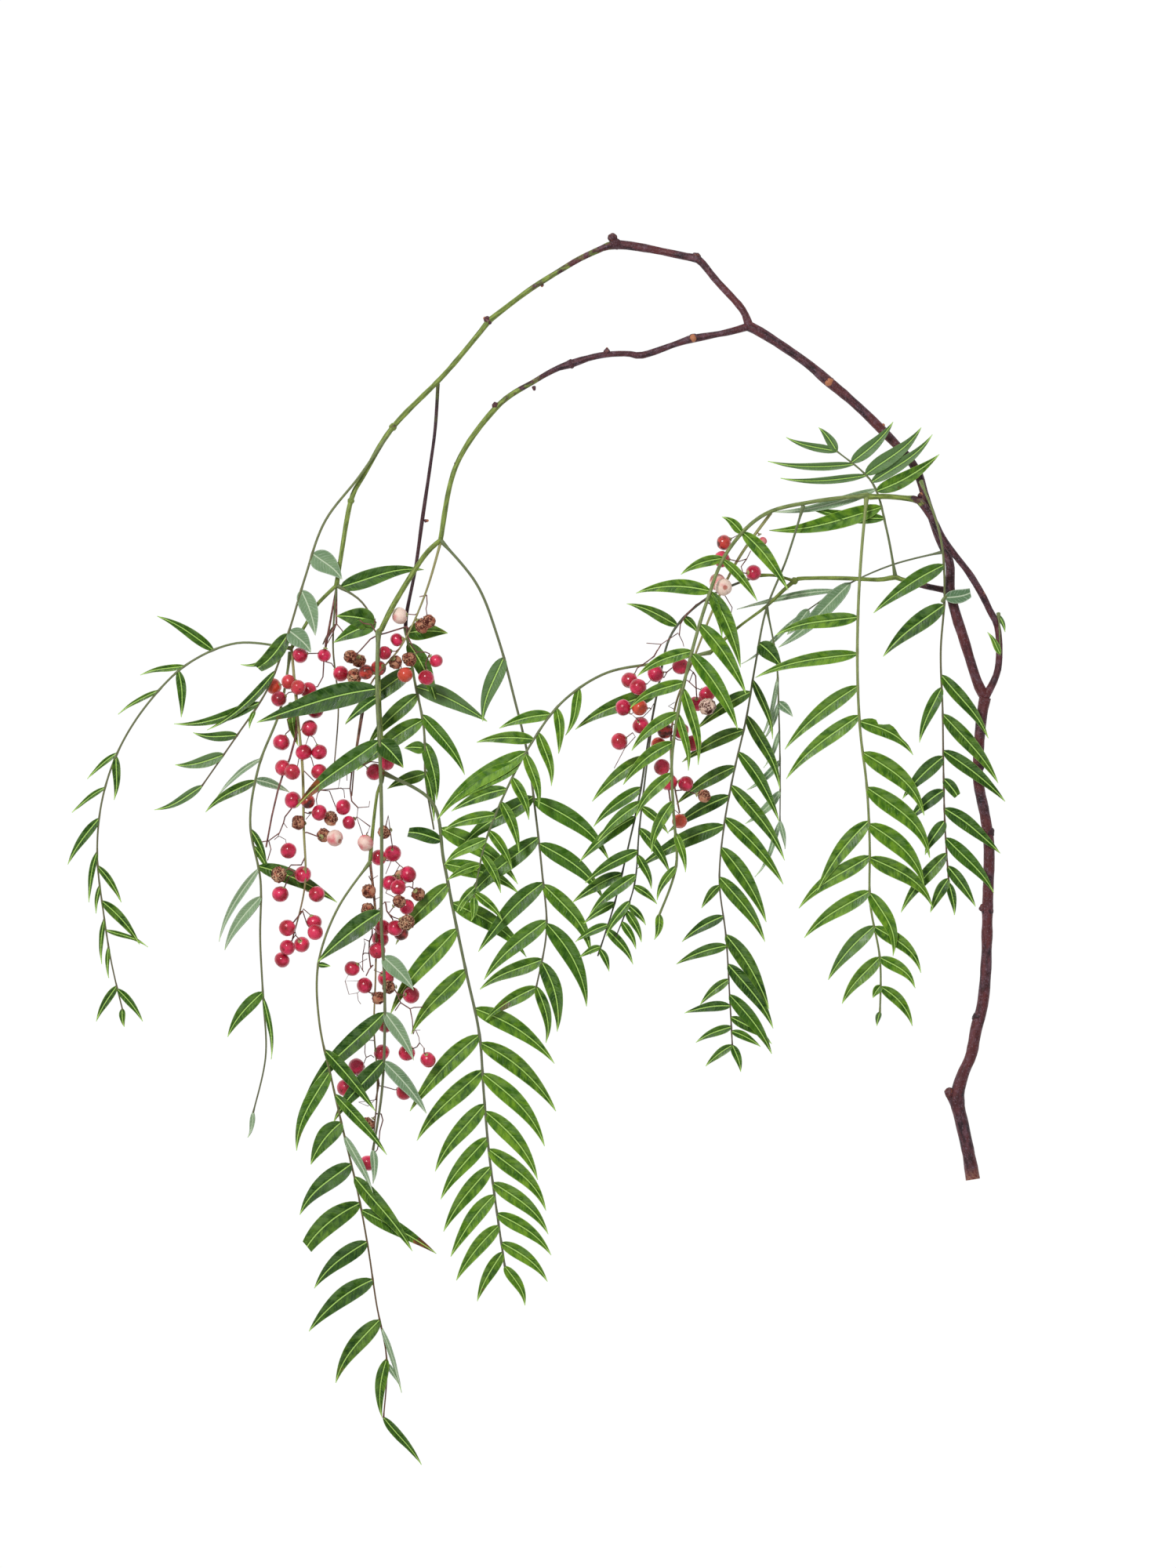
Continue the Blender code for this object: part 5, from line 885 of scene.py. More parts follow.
def leaf_face():
    """Streaky green upper face: pale midrib with painted shade beside it, thin lime margin, side veins, and a
    grey painted sheen on the half towards the root.
    """
    leaf = Finish("leaf_face", 0.4, Specular_IOR_Level=0.22)
    rib, rim, share = leaf.attribute("form")
    shade, fresh, rust = leaf.attribute("look")
    slant, across = slanted(leaf)
    slanting = {0: leaf.times(slant, 0.42), 1: leaf.times(across, 0.3), 2: leaf.times(shade, 30)}
    streak = leaf.noise(1.0, 4, leaf.add("CombineXYZ", slanting))
    cloud = leaf.noise(330, 5)
    mottle = leaf.plus(streak, leaf.times(cloud, 0.4))
    leaf.colour = leaf.mix(leaf.plus(shade, leaf.times(leaf.less(mottle, 0.7), 1.2)), LEAF_DARK, LEAF_MID)
    lit = leaf.times(leaf.between(mottle, 0.5, 0.95), leaf.between(fresh, 0.1, 1.0, 0.1, 0.9))
    leaf.over(lit, LEAF_BRIGHT)
    # Painted sheen: grey-green laid in patches over the half of each leaflet towards the stem's root, and
    # over leaves whose look is grey (rust below zero).
    painted_sheen = leaf.times(leaf.between(across, 0.2, -1.4, 0.05, 0.4), leaf.between(cloud, 0.35, 0.6))
    leaf.over(leaf.plus(painted_sheen, leaf.maths("MAXIMUM", 0.0, leaf.times(rust, -1.1))), LEAF_SHEEN)
    # Painted shade: darker green in a band beside the midrib, where the fold's crease would be shaded.
    leaf.over(leaf.between(rib, 0.9, 0.2, 0.0, 0.6), LEAF_RIB_SHADE)
    vein = side_veins(leaf)
    leaf.over(leaf.times(vein, leaf.between(fresh, 0.0, 1.0, 0.26, 0.14)), LEAF_VEIN)
    leaf.over(leaf.times(leaf.between(share, 0.86, 1.0, 0.0, 0.4), leaf.line(fresh, 0.7, 0.3)), LIME)
    leaf.over(leaf.times(leaf.between(rim, 0.2, 0.03), leaf.line(fresh, 0.45, 0.06)), LIME)
    worn = leaf.times(rust, leaf.between(share, 0.62, 0.82, 0.0, 1.1))
    rusty = leaf.plus(worn, leaf.between(cloud, 0.3, 0.7, -0.6, 0.1))
    brown = leaf.mix(leaf.between(streak, 0.4, 0.6), RUST_DARK, RUST)
    leaf.over(leaf.between(rusty, 0.1, 0.4), brown)
    leaf.over(leaf.between(leaf.noise(150, 2), 0.74, 0.77, 0.0, 0.7), RUST_DARK)
    leaf.over(leaf.between(rib, 0.31, 0.12, 0.0, 0.95), RIB)
    height = leaf.less(leaf.times(mottle, 0.6), leaf.times(vein, 0.3))
    return leaf.done(leaf.between(cloud, 0.3, 0.7, 0.3, 0.5), leaf.bump(height, 0.00018, 0.8))


def leaf_under():
    """Pale grey-green underside with a raised midrib and paler veins."""
    leaf = Finish("leaf_under", 0.62, Specular_IOR_Level=0.3)
    rib, rim, _ = leaf.attribute("form")
    shade, _, _ = leaf.attribute("look")
    light = leaf.line(leaf.noise(240, 3), 0.7, leaf.less(shade, 0.4))
    leaf.colour = leaf.mix(light, BACK_DARK, BACK_PALE)
    vein = side_veins(leaf)
    leaf.over(leaf.times(vein, 0.4), BACK_VEIN)
    leaf.over(leaf.between(rim, 0.35, 0.05, 0.0, 0.6), BACK_VEIN)
    midrib = leaf.between(rib, 0.36, 0.14)
    leaf.over(leaf.times(midrib, 0.85), BACK_RIB)
    height = leaf.plus(midrib, leaf.times(vein, 0.5))
    return leaf.done(None, leaf.bump(height, 0.00015, 0.8))


def stalk_skin():
    """Green leaf stalks that turn grey or red-brown, with fine lengthwise streaks."""
    stalk = Finish("stalk_skin", 0.5, Specular_IOR_Level=0.35)
    grey, red, _ = stalk.attribute("look")
    streak = stalk.noise(1.0, 3, stalk.own_map((0.3, 2.5, 1)))
    stalk.colour = stalk.mix(stalk.between(streak, 0.3, 0.7), STALK_DARK, STALK_GREEN)
    stalk.over(stalk.times(grey, -1.0), STALK_TAN)
    stalk.over(stalk.times(grey, 0.8), STALK_GREY)
    stalk.over(stalk.between(grey, 1.0, 2.0, 0.0, 0.9), STALK_DEEP)
    stalk.over(red, STALK_RED)
    return stalk.done(None, stalk.bump(streak, 0.0001, 0.6))


def bark_skin():
    """Purple-brown bark with pale flecks and warm patches, which breaks up into green on the young twigs."""
    bark = Finish("bark_skin", 0.6, Specular_IOR_Level=0.42)
    age, knot, cut = bark.attribute("look")
    streak = bark.noise(1.0, 4, bark.own_map((0.22, 1.6, 1)))
    grain = bark.noise(1300, 3)
    bark.colour = bark.mix(bark.between(streak, 0.32, 0.68), BARK_DEEP, BARK_MID)
    for scale, detail, low, high, strength, colour in BARK_PATCHES:
        flecks = bark.between(bark.noise(scale, detail), low, high, 0.0, strength)
        bark.over(flecks, colour)
    green = bark.mix(bark.between(streak, 0.3, 0.7), TWIG_DEEP, TWIG_GREEN)
    patch = bark.line(bark.noise(380, 4), 0.9, bark.less(age, 0.45))
    bark.colour = bark.mix(bark.between(patch, 0.38, 0.6), green, bark.colour)
    tan = bark.line(grain, 0.8, bark.less(knot, 0.4))
    bark.over(bark.between(tan, 0.35, 0.7, 0.0, 0.85), KNOT_TAN)
    bark.over(bark.times(bark.maths("MAXIMUM", 0.0, bark.times(knot, -1.0)), 0.75), BARK_DEEP)
    bark.over(cut, bark.mix(bark.between(grain, 0.35, 0.65), BARK_WARM, CUT_WOOD))
    height = bark.line(streak, 0.7, bark.line(grain, 0.4, bark.times(flecks, 0.5)))
    return bark.done(bark.between(grain, 0.3, 0.7, 0.45, 0.7), bark.bump(height, 0.00035, 0.8))


def ripe_skin():
    """Glossy crimson skin, a little uneven, with a small brown scar at one pole or both."""
    ripe = Finish("ripe_skin", 0.25, Specular_IOR_Level=0.45, Coat_Weight=0.3, Coat_Roughness=0.12,
                  Subsurface_Weight=0.04, Subsurface_Scale=0.001)
    pole, _, _ = ripe.attribute("form")
    orange, bruise, _ = ripe.attribute("look")
    cloud = ripe.noise(270, 3)
    ripe.colour = ripe.mix(ripe.between(cloud, 0.34, 0.68), BERRY_DEEP, BERRY_MID)
    ripe.over(orange, BERRY_ORANGE)
    ripe.over(ripe.between(ripe.noise(1500, 2), 0.6, 0.72, 0.0, 0.4), SHELL_PINK)
    ripe.over(ripe.times(bruise, ripe.between(ripe.noise(420, 3), 0.4, 0.6)), BERRY_SCAR)
    ripe.over(ripe.between(pole, 0.975, 0.99, 0.0, 0.65), BERRY_SCAR)
    return ripe.done(ripe.between(cloud, 0.3, 0.7, 0.18, 0.34), ripe.bump(ripe.noise(900, 2), 0.0002, 0.6))


def pale_shell():
    """Papery shell, white to rose, that has split and shows a dark inside along the crack."""
    shell = Finish("pale_shell", 0.5, Specular_IOR_Level=0.35)
    pole, crack, _ = shell.attribute("form")
    rosy, _, _ = shell.attribute("look")
    blush = shell.plus(shell.times(shell.noise(260, 3), 2.4), shell.less(rosy, 1.25))
    shell.colour = shell.mix(shell.between(blush, 0.0, 0.9), SHELL_PALE, SHELL_PINK)
    shell.over(shell.between(pole, 0.93, 0.96, 0.0, 0.8), HUSK_ROSE)
    shell.over(shell.between(crack, 0.45, 0.85), HUSK_DARK)
    return shell.done(None, shell.bump(shell.noise(900, 3), 0.0002, 0.6))


def dry_husk():
    """Dried tan husk: a net of ridges over dark hollows."""
    husk = Finish("dry_husk", 0.7, Specular_IOR_Level=0.2)
    pole, _, _ = husk.attribute("form")
    rosy, dark, _ = husk.attribute("look")
    ridge = husk.plus(husk.cells(900), husk.times(husk.less(husk.noise(1400, 3), 0.5), 0.45))
    hollow = husk.times(husk.between(ridge, 0.03, 0.2), husk.between(husk.noise(380, 1), 0.38, 0.5))
    husk.colour = husk.mix(husk.between(husk.noise(500, 3), 0.42, 0.68), HUSK_TAN, HUSK_ROSE)
    husk.over(husk.times(rosy, 0.5), HUSK_ROSE)
    husk.over(husk.times(rosy, -0.75), SHELL_PALE)
    husk.over(husk.times(hollow, 0.95), HUSK_DARK)
    husk.over(husk.maths("MAXIMUM", husk.between(pole, 0.9, 0.95), husk.times(dark, 0.45)), HUSK_DARK)
    return husk.done(None, husk.bump(husk.less(1.0, hollow), 0.0005, 0.9))


def thread_skin():
    """Thin red-brown pedicels, tan-green on the panicles' stalks."""
    pedicel = Finish("thread_skin", 0.55)
    green, _, _ = pedicel.attribute("look")
    pedicel.colour = pedicel.mix(pedicel.between(pedicel.noise(700, 2), 0.3, 0.7), BERRY_SCAR, PEDICEL)
    pedicel.over(green, PEDICEL_TAN)
    return pedicel.done()


def spot(x, y, height=0.0):
    """A place from its x and y in millimetres and its height in metres."""
    return Vector((x * MM, y * MM, height))


def lengths_along(points):
    total = [0.0]
    for near, far in zip(points, points[1:]):
        total.append(total[-1] + (far - near).length)
    return total


def between(values, share):
    """The value at a share from 0 to 1 of a list of evenly spread values."""
    place = share * (len(values) - 1)
    index = min(int(place), len(values) - 2)
    return values[index] + (values[index + 1] - values[index]) * (place - index)


def smooth_through(points, step):
    """Points about a step apart on a smooth curve through the given ones."""
    dense = []
    last = len(points) - 1
    for index in range(last):
        before, near = points[max(index - 1, 0)], points[index]
        far, after = points[index + 1], points[min(index + 2, last)]
        for part in range(CURVE_PARTS):
            share = part / CURVE_PARTS
            bend = (far - before) * share + (2 * before - 5 * near + 4 * far - after) * share**2
            dense.append(near + 0.5 * (bend + (3 * near - before - 3 * far + after) * share**3))
    dense.append(points[-1])
    along = lengths_along([point.to_3d() for point in dense])
    count = max(2, round(along[-1] / step))
    route = []
    place = 0
    for index in range(count + 1):
        wanted = along[-1] * index / count
        while place < len(dense) - 2 and along[place + 1] <= wanted + 1e-9:
            place += 1
        share = (wanted - along[place]) / max(along[place + 1] - along[place], 1e-9)
        route.append(dense[place].lerp(dense[place + 1], min(share, 1)))
    return route


def stem_route(points, heights):
    """The stem's centre line, as in the solids."""
    flat = smooth_through([spot(x, y) for x, y in points], STEM_STEP)
    along = lengths_along(flat)
    return [
        Vector((point.x, point.y, between(heights, length / along[-1]) * MM))
        for point, length in zip(flat, along)
    ]


def nearest_on(routes, place):
    """The point of the routes nearest to a place seen from above, and the stem's direction there."""
    place = place.to_2d()
    best = None
    for route in routes:
        for near, far in zip(route, route[1:]):
            run = far - near
            flat = run.to_2d()
            share = (place - near.to_2d()).dot(flat) / flat.length_squared
            point = near + run * max(0.0, min(1.0, share))
            away = (point.to_2d() - place).length
            if best is None or away < best[0]:
                best = (away, point, run.normalized())
    return best[1], best[2]


def half_width(share):
    """A leaflet's half width for its widest, from its root at 0 to its tip at 1."""
    return math.sin(math.pi * share**0.65) ** 0.85 * (1.09 - 0.3 * share)


def bow_out(share):
    """How far along its bow a midrib has swung out, most of all a little past the middle."""
    return 4 * share * (1 - share) * (0.7 + 0.6 * share)


def usual_width(length):
    least, gain, most = BLADE_WIDTHS
    return min(least + gain * length, most)


def new_build():
    """An empty mesh with the map and the attributes that the materials read."""
    build = bmesh.new()
    build.loops.layers.uv.new("UVMap")
    build.verts.layers.float_color.new("form")
    build.verts.layers.float_color.new("look")
    return build


def faces_of(verts):
    return {face for vertex in verts for face in vertex.link_faces}


def shaped(build, verts, shape, material=0):
    """Moves new points by their shape, which gives each one's place, form, look and map, and smooths them."""
    uv = build.loops.layers.uv["UVMap"]
    form, look = build.verts.layers.float_color["form"], build.verts.layers.float_color["look"]
    maps = {}
    for vertex in verts:
        vertex.co, its_form, its_look, maps[vertex] = shape(vertex.co)
        vertex[form] = (*its_form, 1)
        vertex[look] = (*its_look, 1)
    faces = list(faces_of(verts))
    for face in faces:
        face.smooth = True
        face.material_index = material
        for loop in face.loops:
            loop[uv].uv = maps[loop.vert]
    return faces


def sheet(build, lengthways, across, shape, material=0):
    """Bends a new grid by its shape, whose two ways run from -1 to 1."""
    verts = bmesh.ops.create_grid(build, x_segments=lengthways, y_segments=across, size=1)["verts"]
    return verts, shaped(build, verts, lambda point: shape(point.x, point.y), material)


def tube(build, route, radii, sides, look_at, material=0, round_ends=True):
    """A closed tube along a route, with a radius at each point and a look at each share of its length."""
    first, last = (route[0] - route[1]).normalized(), (route[-1] - route[-2]).normalized()
    bulge, inner = ROUND_CAP if round_ends else FLAT_CAP
    start, end = first * radii[0] * bulge, last * radii[-1] * bulge
    route = [route[0] + start, route[0] + start * 0.7, *route, route[-1] + end * 0.7, route[-1] + end]
    radii = [0, radii[0] * inner, *radii, radii[-1] * inner, 0]
    along = lengths_along(route)
    side = Vector((0, 0, 1)).cross(first)
    side = (side if side.length > 0.1 else Vector((1, 0, 0))).normalized()
    frames = []
    for index in range(len(route)):
        before, after = route[max(index - 1, 1)], route[min(index + 1, len(route) - 2)]
        ahead = (after - before).normalized() if 0 < index < len(route) - 1 else (last if index else -first)
        side = (side - ahead * side.dot(ahead)).normalized()
        frames.append((side.copy(), ahead.cross(side)))

    def shape(x, y):
        index = round((x + 1) / 2 * (len(route) - 1))
        turn = math.pi * (y + 1)
        across, up = frames[index]
        place = route[index] + (across * math.cos(turn) + up * math.sin(turn)) * radii[index]
        place.z = max(place.z, 0)
        its_look = look_at(along[index] / along[-1], index)
        return place, (0, 0, 0), its_look, (along[index] / MM, (y + 1) / 2 * MAP_ROUND)

    verts, _ = sheet(build, len(route) - 1, sides, shape, material)
    bmesh.ops.remove_doubles(build, verts=verts, dist=WELD)


def leaflet(build, root, tip, width, bow, along_stem, roll, words):
    """A lance-shaped leaflet with a fold along its midrib, a slight twist and rippled margins."""
    line = tip - root
    length = line.length
    forward = line.normalized()
    side = Vector((0, 0, 1)).cross(forward).normalized()
    hand = 1 if side.dot(along_stem) < 0 else -1
    outward = side * hand
    twist = looks_draw.uniform(-LEAF_TWIST, LEAF_TWIST)
    phase = looks_draw.uniform(0, math.tau)
    wave = looks_draw.uniform(-LEAF_WAVE, LEAF_WAVE)
    fold = LEAF_FOLD * looks_draw.uniform(*LEAF_FOLDS)
    light, fresh, rust = LOOKS[words[0]]
    light += looks_draw.uniform(*LEAF_LIGHTER)
    its_look = (light, max(0, fresh + looks_draw.uniform(*LEAF_FRESHER)), rust)
    reached = BLUNT_END if "blunt" in words else 1

    def shape(x, y):
        even = (x + 1) / 2
        share = 0.6 * even + 0.4 * (1 - math.cos(math.pi * even)) / 2
        off = math.copysign(abs(y) ** 1.8, y)
        swing = bow * bow_out(share) + wave * math.sin(math.tau * share)
        centre = root + line * share + outward * length * swing
        turn = roll + twist * (share - 0.35)
        across = side * math.cos(turn) + Vector((0, 0, 1)) * math.sin(turn)
        up = forward.cross(across)
        reach = half_width(min(share * reached, 0.9999)) * width / 2 if share > 0 else 0
        reach = max(reach, FOOT_WIDTH * (1 - share) + LEAF_LEAST_REACH)
        if "bitten" in words and y * hand > 0:
            reach *= 1 - sum(deep * math.exp(-(((share - at) / wide) ** 2)) for at, wide, deep in LEAF_BITES)
        sway = math.sin(share * length / RIPPLE_LENGTH * math.tau + phase + y) * math.sin(math.pi * share)
        arch = LEAF_ARCH * length * 4 * share * (1 - share)
        lift = fold * abs(off) ** 1.4 * reach + arch + RIPPLE * sway * off**2
        if y == 0:
            lift -= RIB_DEPTH
        place = centre + across * off * reach + up * lift
        place.z = max(place.z, LEAF_THICKNESS * 0.6)
        form = (abs(off) * reach / MM, (1 - abs(off)) * reach / MM, share * reached)
        return place, form, its_look, (share * length / MM, -off * hand * reach / MM)

    _, faces = sheet(build, LEAF_LENGTHWAYS, LEAF_ACROSS, shape)
    if "back" in words:
        bmesh.ops.reverse_faces(build, faces=faces)


def mesh_from(build, name, finishes):
    mesh = bpy.data.meshes.new(name)
    build.to_mesh(mesh)
    build.free()
    for finish in finishes:
        mesh.materials.append(finish)
    return mesh


def placed(name, held):
    """A new object in the scene."""
    made = bpy.data.objects.new(name, held)
    bpy.context.scene.collection.objects.link(made)
    return made


def thickened(build, name):
    """The leaflets of a build as a mesh with two faces, the second with the next material."""
    flat = placed(name, mesh_from(build, name, leaf_finishes))
    wall = flat.modifiers.new("thickness", "SOLIDIFY")
    wall.thickness = LEAF_THICKNESS
    wall.offset = 0
    wall.material_offset = 1
    bpy.context.view_layer.update()
    thick = bpy.data.meshes.new_from_object(flat.evaluated_get(bpy.context.evaluated_depsgraph_get()))
    bpy.data.objects.remove(flat, do_unlink=True)
    return thick


def finished(build, name, finishes, node):
    """The piece of a build, riding on the sprig's one body."""
    mesh = mesh_from(build, name, finishes)
    mesh.set_sharp_from_angle(angle=SHARP_ANGLE)
    piece = placed(name, mesh)
    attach(piece, "root")
    if node:
        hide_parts(node)


def make_frond(name, frond, node=None):
    """One frond: its leaflets first, then the stalks they grow from."""
    routes = [stem_route(points, heights) for points, heights in frond["stems"]]
    fine = [smooth_through(route, FINE_STEP) for route in routes]
    look_name, grey_start, grey_end, stout, red = FROND_LOOKS[name]
    build = new_build()
    roots = []
    for x, y, tip_x, tip_y, *rest in frond["leaflets"]:
        width = [part for part in rest if not isinstance(part, str)]
        words = [part for part in rest if isinstance(part, str)] or [look_name]
        root, along = nearest_on(routes, spot(x, y))
        tip = spot(tip_x, tip_y)
        length = (tip - root).to_2d().length
        tip.z = max(root.z - BLADE_DROOP * length, BLADE_THICKNESS / 2)
        wide = width[0] * MM if width else usual_width(length) * frond.get("slim", 1)
        bow = frond.get("bows", BLADE_BOWS)[0 if tip.x < root.x else 1]
        roll = draw.uniform(-BLADE_ROLL, BLADE_ROLL)
        root, _ = nearest_on(fine, spot(x, y))
        roots.append(root)
        leaflet(build, root, tip, wide, bow, along, roll, words)
    thick = thickened(build, name)
    build = new_build()
    build.from_mesh(thick)
    for number, route in enumerate(fine):
        along = lengths_along(route)
        radii = []
        for point, length in zip(route, along):
            radius = STALK_RADII[0] + (STALK_RADII[1] - STALK_RADII[0]) * (length / along[-1]) ** STALK_TAPER
            radius *= stout if number == 0 else stout * SIDE_STALK
            near = min((root - point).length for root in roots) / MM
            collar = COLLAR_SWELL * math.exp(-((length / COLLAR_LENGTH) ** 2)) if number == 0 else 0
            radii.append((radius + collar + FOOT_SWELL * math.exp(-(near**2))) * MM)

        def look_at(share, _):
            return grey_start + (grey_end - grey_start) * share, red * share, 0

        tube(build, route, radii, STALK_SIDES, look_at, 2)
    finished(build, name + "_fine", leaf_finishes, node)


def knob(build, centre, radius, look, squash):
    """A rough knot or scar."""
    made = bmesh.ops.create_icosphere(build, subdivisions=KNOB_DETAIL, radius=radius)["verts"]
    seed = Vector((looks_draw.uniform(0, 50), looks_draw.uniform(0, 50), 0))

    def shape(point):
        rough = 1 + KNOB_ROUGH * noise.noise(point / radius * 1.6 + seed)
        return centre + Vector((point.x, point.y, point.z * squash)) * rough, (0, 0, 0), look, (0, 0)

    shaped(build, made, shape)


def make_branch():
    """The woody stem and its twigs, with knots, scars and bud stubs."""
    build = new_build()
    for name, limb in LIMBS.items():
        points = smooth_through([Vector(point) * MM for point in limb], FINE_STEP)
        route = [point.to_3d() for point in points]
        radii = []
        for point, place in zip(points, route):
            rough = sum(noise.noise(place * fine) * deep for fine, deep in LIMB_DENTS)
            radii.append(point.w * (1 + rough * min(1, point.w / MM)))
        ages, dark = LIMB_AGES[name], DARK_TWIG if name == "dark_twig" else 0
        cuts = CUT_END if name == "main" else ()

        def look_at(share, index):
            return between(ages, share), dark, cuts[index] if index < len(cuts) else 0

        tube(build, route, radii, LIMB_SIDES if radii[0] > TWIG_RADIUS else TWIG_SIDES, look_at, 0, not cuts)
    knobs = [(*place, radius * KNOT_SIZE, *KNOT_LOOK, KNOB_SQUASH) for *place, radius in KNOTS]
    knobs += [(*scar, KNOB_SQUASH) for scar in SCARS]
    knobs += [(*ring, *RING_LOOK, RING_SQUASH) for ring in DARK_RINGS]
    for x, y, height, radius, age, tan, squash in knobs:
        knob(build, Vector((x, y, height)) * MM, radius * MM, (age, tan, 0), squash)
    for x, y, height, way_x, way_y, length, radius in STUBS:
        start = Vector((x, y, height)) * MM
        way = Vector((way_x, way_y, looks_draw.uniform(-0.1, 0.4))).normalized()
        route = [start + way * length * MM * part / 5 for part in range(6)]
        radii = [radius * MM * size for size in STUB_SHAPE]
        tan = looks_draw.uniform(0.3, 0.8)
        tube(build, route, radii, STALK_SIDES, lambda share, _: (0.9, tan * share, 0))
    finished(build, "branch_fine", [bark_finish], "branch")


def berry(build, centre, away, kind, size, look):
    """One round drupe whose pole away from its pedicel carries the scar."""
    material, rough, fine, dent = BERRY_SKINS[kind]
    radius = BERRY_RADIUS * size * looks_draw.uniform(*BERRY_SIZES)
    made = bmesh.ops.create_uvsphere(build, u_segments=BERRY_ROUND, v_segments=BERRY_TALL, radius=1)["verts"]
    seed = Vector([looks_draw.uniform(0, 90) for _ in range(3)])
    tilt = Vector((looks_draw.uniform(-1, 1), looks_draw.uniform(-1, 1), looks_draw.uniform(-0.6, 1))) * 0.75
    turn = (away + tilt).to_track_quat("Z", "Y").to_matrix()
    crack_at = looks_draw.uniform(-math.pi, math.pi)
    one_scar = kind != "ripe" or look[1] > 0 or seed.x > 45

    def shape(point):
        way = point.normalized()
        pole = abs(way.z)
        swell = 1 + rough * noise.noise(way * fine + seed)
        swell -= dent * max(0, (pole - POLE_START) / POLE_SPAN) ** 1.5
        around = math.atan2(way.y, way.x) - crack_at
        crack = math.exp(-((around / CRACK_WIDTH) ** 2)) if kind == "pale" and way.z > -0.35 else 0
        swell -= CRACK_DEPTH * crack
        squashed = Vector((way.x, way.y, way.z * 0.95)) * swell * radius
        return centre + turn @ squashed, (way.z if one_scar else pole, crack, 0), look, (0, 0)

    shaped(build, made, shape, material)


def thread(build, points, radius):
    """A thin angular pedicel, a little thicker at its start."""
    count = len(points)
    radii = [radius * (THREAD_START - THREAD_TAPER * index / count) for index in range(count)]
    tube(build, points, radii, THREAD_SIDES, lambda share, _: (0, 0, 0), 3)


def sideways(run):
    """A short way off a run, to bend it."""
    way = Vector((-run.y, run.x, run.length * looks_draw.uniform(-0.4, 0.4)))
    return way * looks_draw.choice((-1, 1)) * looks_draw.uniform(0.08, 0.2)


def make_sprays(build, name, anchors):
    """The panicle's bare branchlets, each from the anchor nearest to it. Berries can hang on their points."""
    anchors, holds = list(anchors), []
    for radius, *points in SPRAYS[name]:
        first = Vector(points[0]) * MM
        foot = min(anchors, key=lambda point: (point.to_2d() - first).length)
        height = foot.z
        route = [foot] if (foot.to_2d() - first).length > SPRAY_TOUCH else []
        for x, y in points:
            route.append(spot(x, y, height))
            height += looks_draw.uniform(-SPRAY_RISE, SPRAY_RISE) * MM
        thread(build, route, radius * MM)
        anchors.extend(route)
        holds.extend(route[-len(points):])
    return holds


def berry_places(panicle, stalk):
    """Berry centres and kinds: first those of the solids, then the crowded ones, moved clear of them."""
    places, crowded = [], []
    for kind in ("ripe", "pale", "dried"):
        for x, y, *word in panicle[kind]:
            near, _ = nearest_on([stalk], spot(x, y))
            place = spot(x, y, near.z + draw.uniform(-BERRY_LIFT, BERRY_LIFT))
            clear = all((place - other).length > BERRY_GAP for other, _ in places)
            (places if clear else crowded).append((place, word[0] if word else kind))
    for x, y, kind in panicle.get("loose", []):
        near, _ = nearest_on([stalk], spot(x, y))
        crowded.append((spot(x, y, near.z), kind))
    for place, kind in crowded:
        for step in BERRY_SHIFTS:
            moved = place + Vector((0, 0, step * MM))
            clear = all((moved - other).length > CROWDED_GAP for other, _ in places)
            if moved.z > BERRY_RADIUS and clear:
                places.append((moved, kind))
                break
    return places


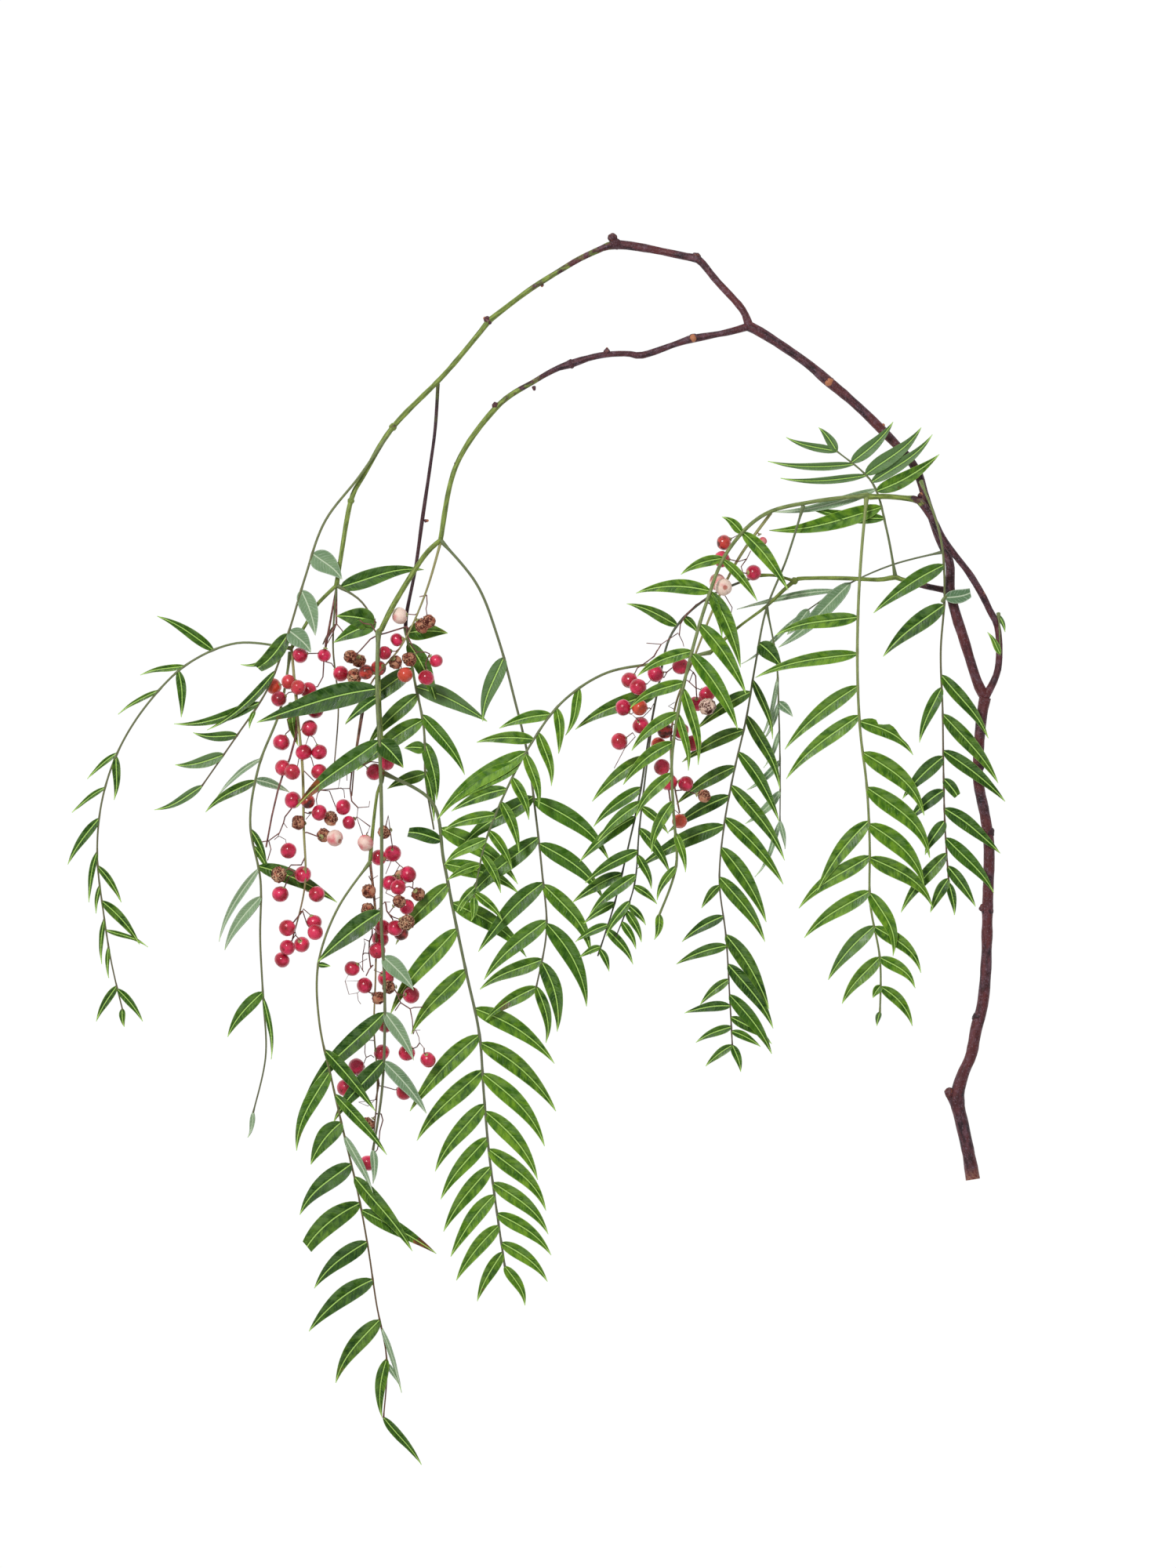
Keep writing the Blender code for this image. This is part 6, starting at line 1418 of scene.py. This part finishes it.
def make_panicle(name, panicle):
    """One panicle: its stalk, its branchlets, then its berries on their pedicels, the nearest to it first."""
    stalk = stem_route(panicle["stalk"], panicle["heights"])
    fine = smooth_through(stalk, FINE_STEP)
    build = new_build()
    sizes, greens = PANICLE_STALKS[name]
    radii = [between(sizes, index / (len(fine) - 1)) * MM for index in range(len(fine))]
    tube(build, fine, radii, STALK_SIDES, lambda share, _: (between(greens, share), 0, 0), 3)
    holds = [point for point in smooth_through(stalk, HOLD_STEP) if (point - stalk[0]).length > HOLD_START]
    places = berry_places(panicle, stalk)
    holds += make_sprays(build, name, fine + [place for place, _ in places])
    for place, kind in sorted(places, key=lambda item: (nearest_on([stalk], item[0])[0] - item[0]).length):
        hold = min(holds, key=lambda point: (point - place).length + HANG * max(0, place.y - point.y))
        away = (place - hold).normalized()
        skin, size, look = BERRY_LOOKS[kind]
        look = (look[0] + looks_draw.uniform(0, 0.15), look[1], 0)
        end = place - away * BERRY_RADIUS * THREAD_END
        bend = hold.lerp(end, looks_draw.uniform(0.35, 0.65)) + sideways(end - hold)
        thread(build, [hold, bend, end], THREAD_RADIUS)
        cup = place - away * BERRY_RADIUS * CUP_AT
        turn = Matrix.Translation(cup) @ away.to_track_quat("Z", "Y").to_matrix().to_4x4()
        made = bmesh.ops.create_cone(build, cap_ends=True, matrix=turn, **CUP)
        for face in faces_of(made["verts"]):
            face.material_index = 3
        berry(build, place, away, skin, size, look)
        holds.append((hold * 2 + place) / 3)
    finished(build, name + "_fine", berry_finishes, name)


def make_studio():
    """A pale floor, a white sky, a soft key light and the camera."""
    build = bmesh.new()
    bmesh.ops.create_grid(build, x_segments=1, y_segments=1, size=FLOOR_HALF)
    finish = Finish("floor_white", 1.0, Specular_IOR_Level=0.0, Base_Color=(0.02, 0.02, 0.02, 1),
                    Emission_Color=(1, 1, 1, 1), Emission_Strength=FLOOR_GLOW)
    floor = placed("floor", mesh_from(build, "floor", [finish.material]))
    world = bpy.data.worlds.new("white_sky")
    world.use_nodes = True
    sky = world.node_tree.nodes["Background"]
    sky.inputs[0].default_value = (1, 1, 1, 1)
    sky.inputs[1].default_value = SKY_STRENGTH
    bpy.context.scene.world = world
    for name, place, size, power in SOFT_LIGHTS:
        lamp = bpy.data.lights.new(name, "AREA")
        lamp.shape = "DISK"
        lamp.size = size
        lamp.energy = power
        holder = placed(name, lamp)
        holder.location = place
        holder.rotation_euler = (Vector(place) * -1).to_track_quat("-Z", "Y").to_euler()
    lens = bpy.data.cameras.new("camera")
    lens.sensor_fit = "VERTICAL"
    lens.sensor_height = SENSOR_TALL
    lens.lens = SENSOR_TALL * VIEW_HEIGHT / VIEW_TALL
    camera = placed("camera", lens)
    camera.location = (*VIEW_CENTRE, VIEW_HEIGHT)
    bpy.context.scene.camera = camera
    bpy.context.scene.view_settings.view_transform = "Standard"


draw = random.Random(SEED)
looks_draw = random.Random(LOOKS_SEED)
leaf_finishes = [leaf_face(), leaf_under(), stalk_skin()]
bark_finish, thread_finish = bark_skin(), thread_skin()
berry_finishes = [ripe_skin(), pale_shell(), dry_husk(), thread_finish]
make_studio()
make_branch()
for frond_name, frond_parts in FRONDS.items():
    make_frond(frond_name, frond_parts, frond_name)
for panicle_name, panicle_parts in PANICLES.items():
    make_panicle(panicle_name, panicle_parts)
for stray_name, stray_parts in STRAYS.items():
    make_frond(stray_name, stray_parts)
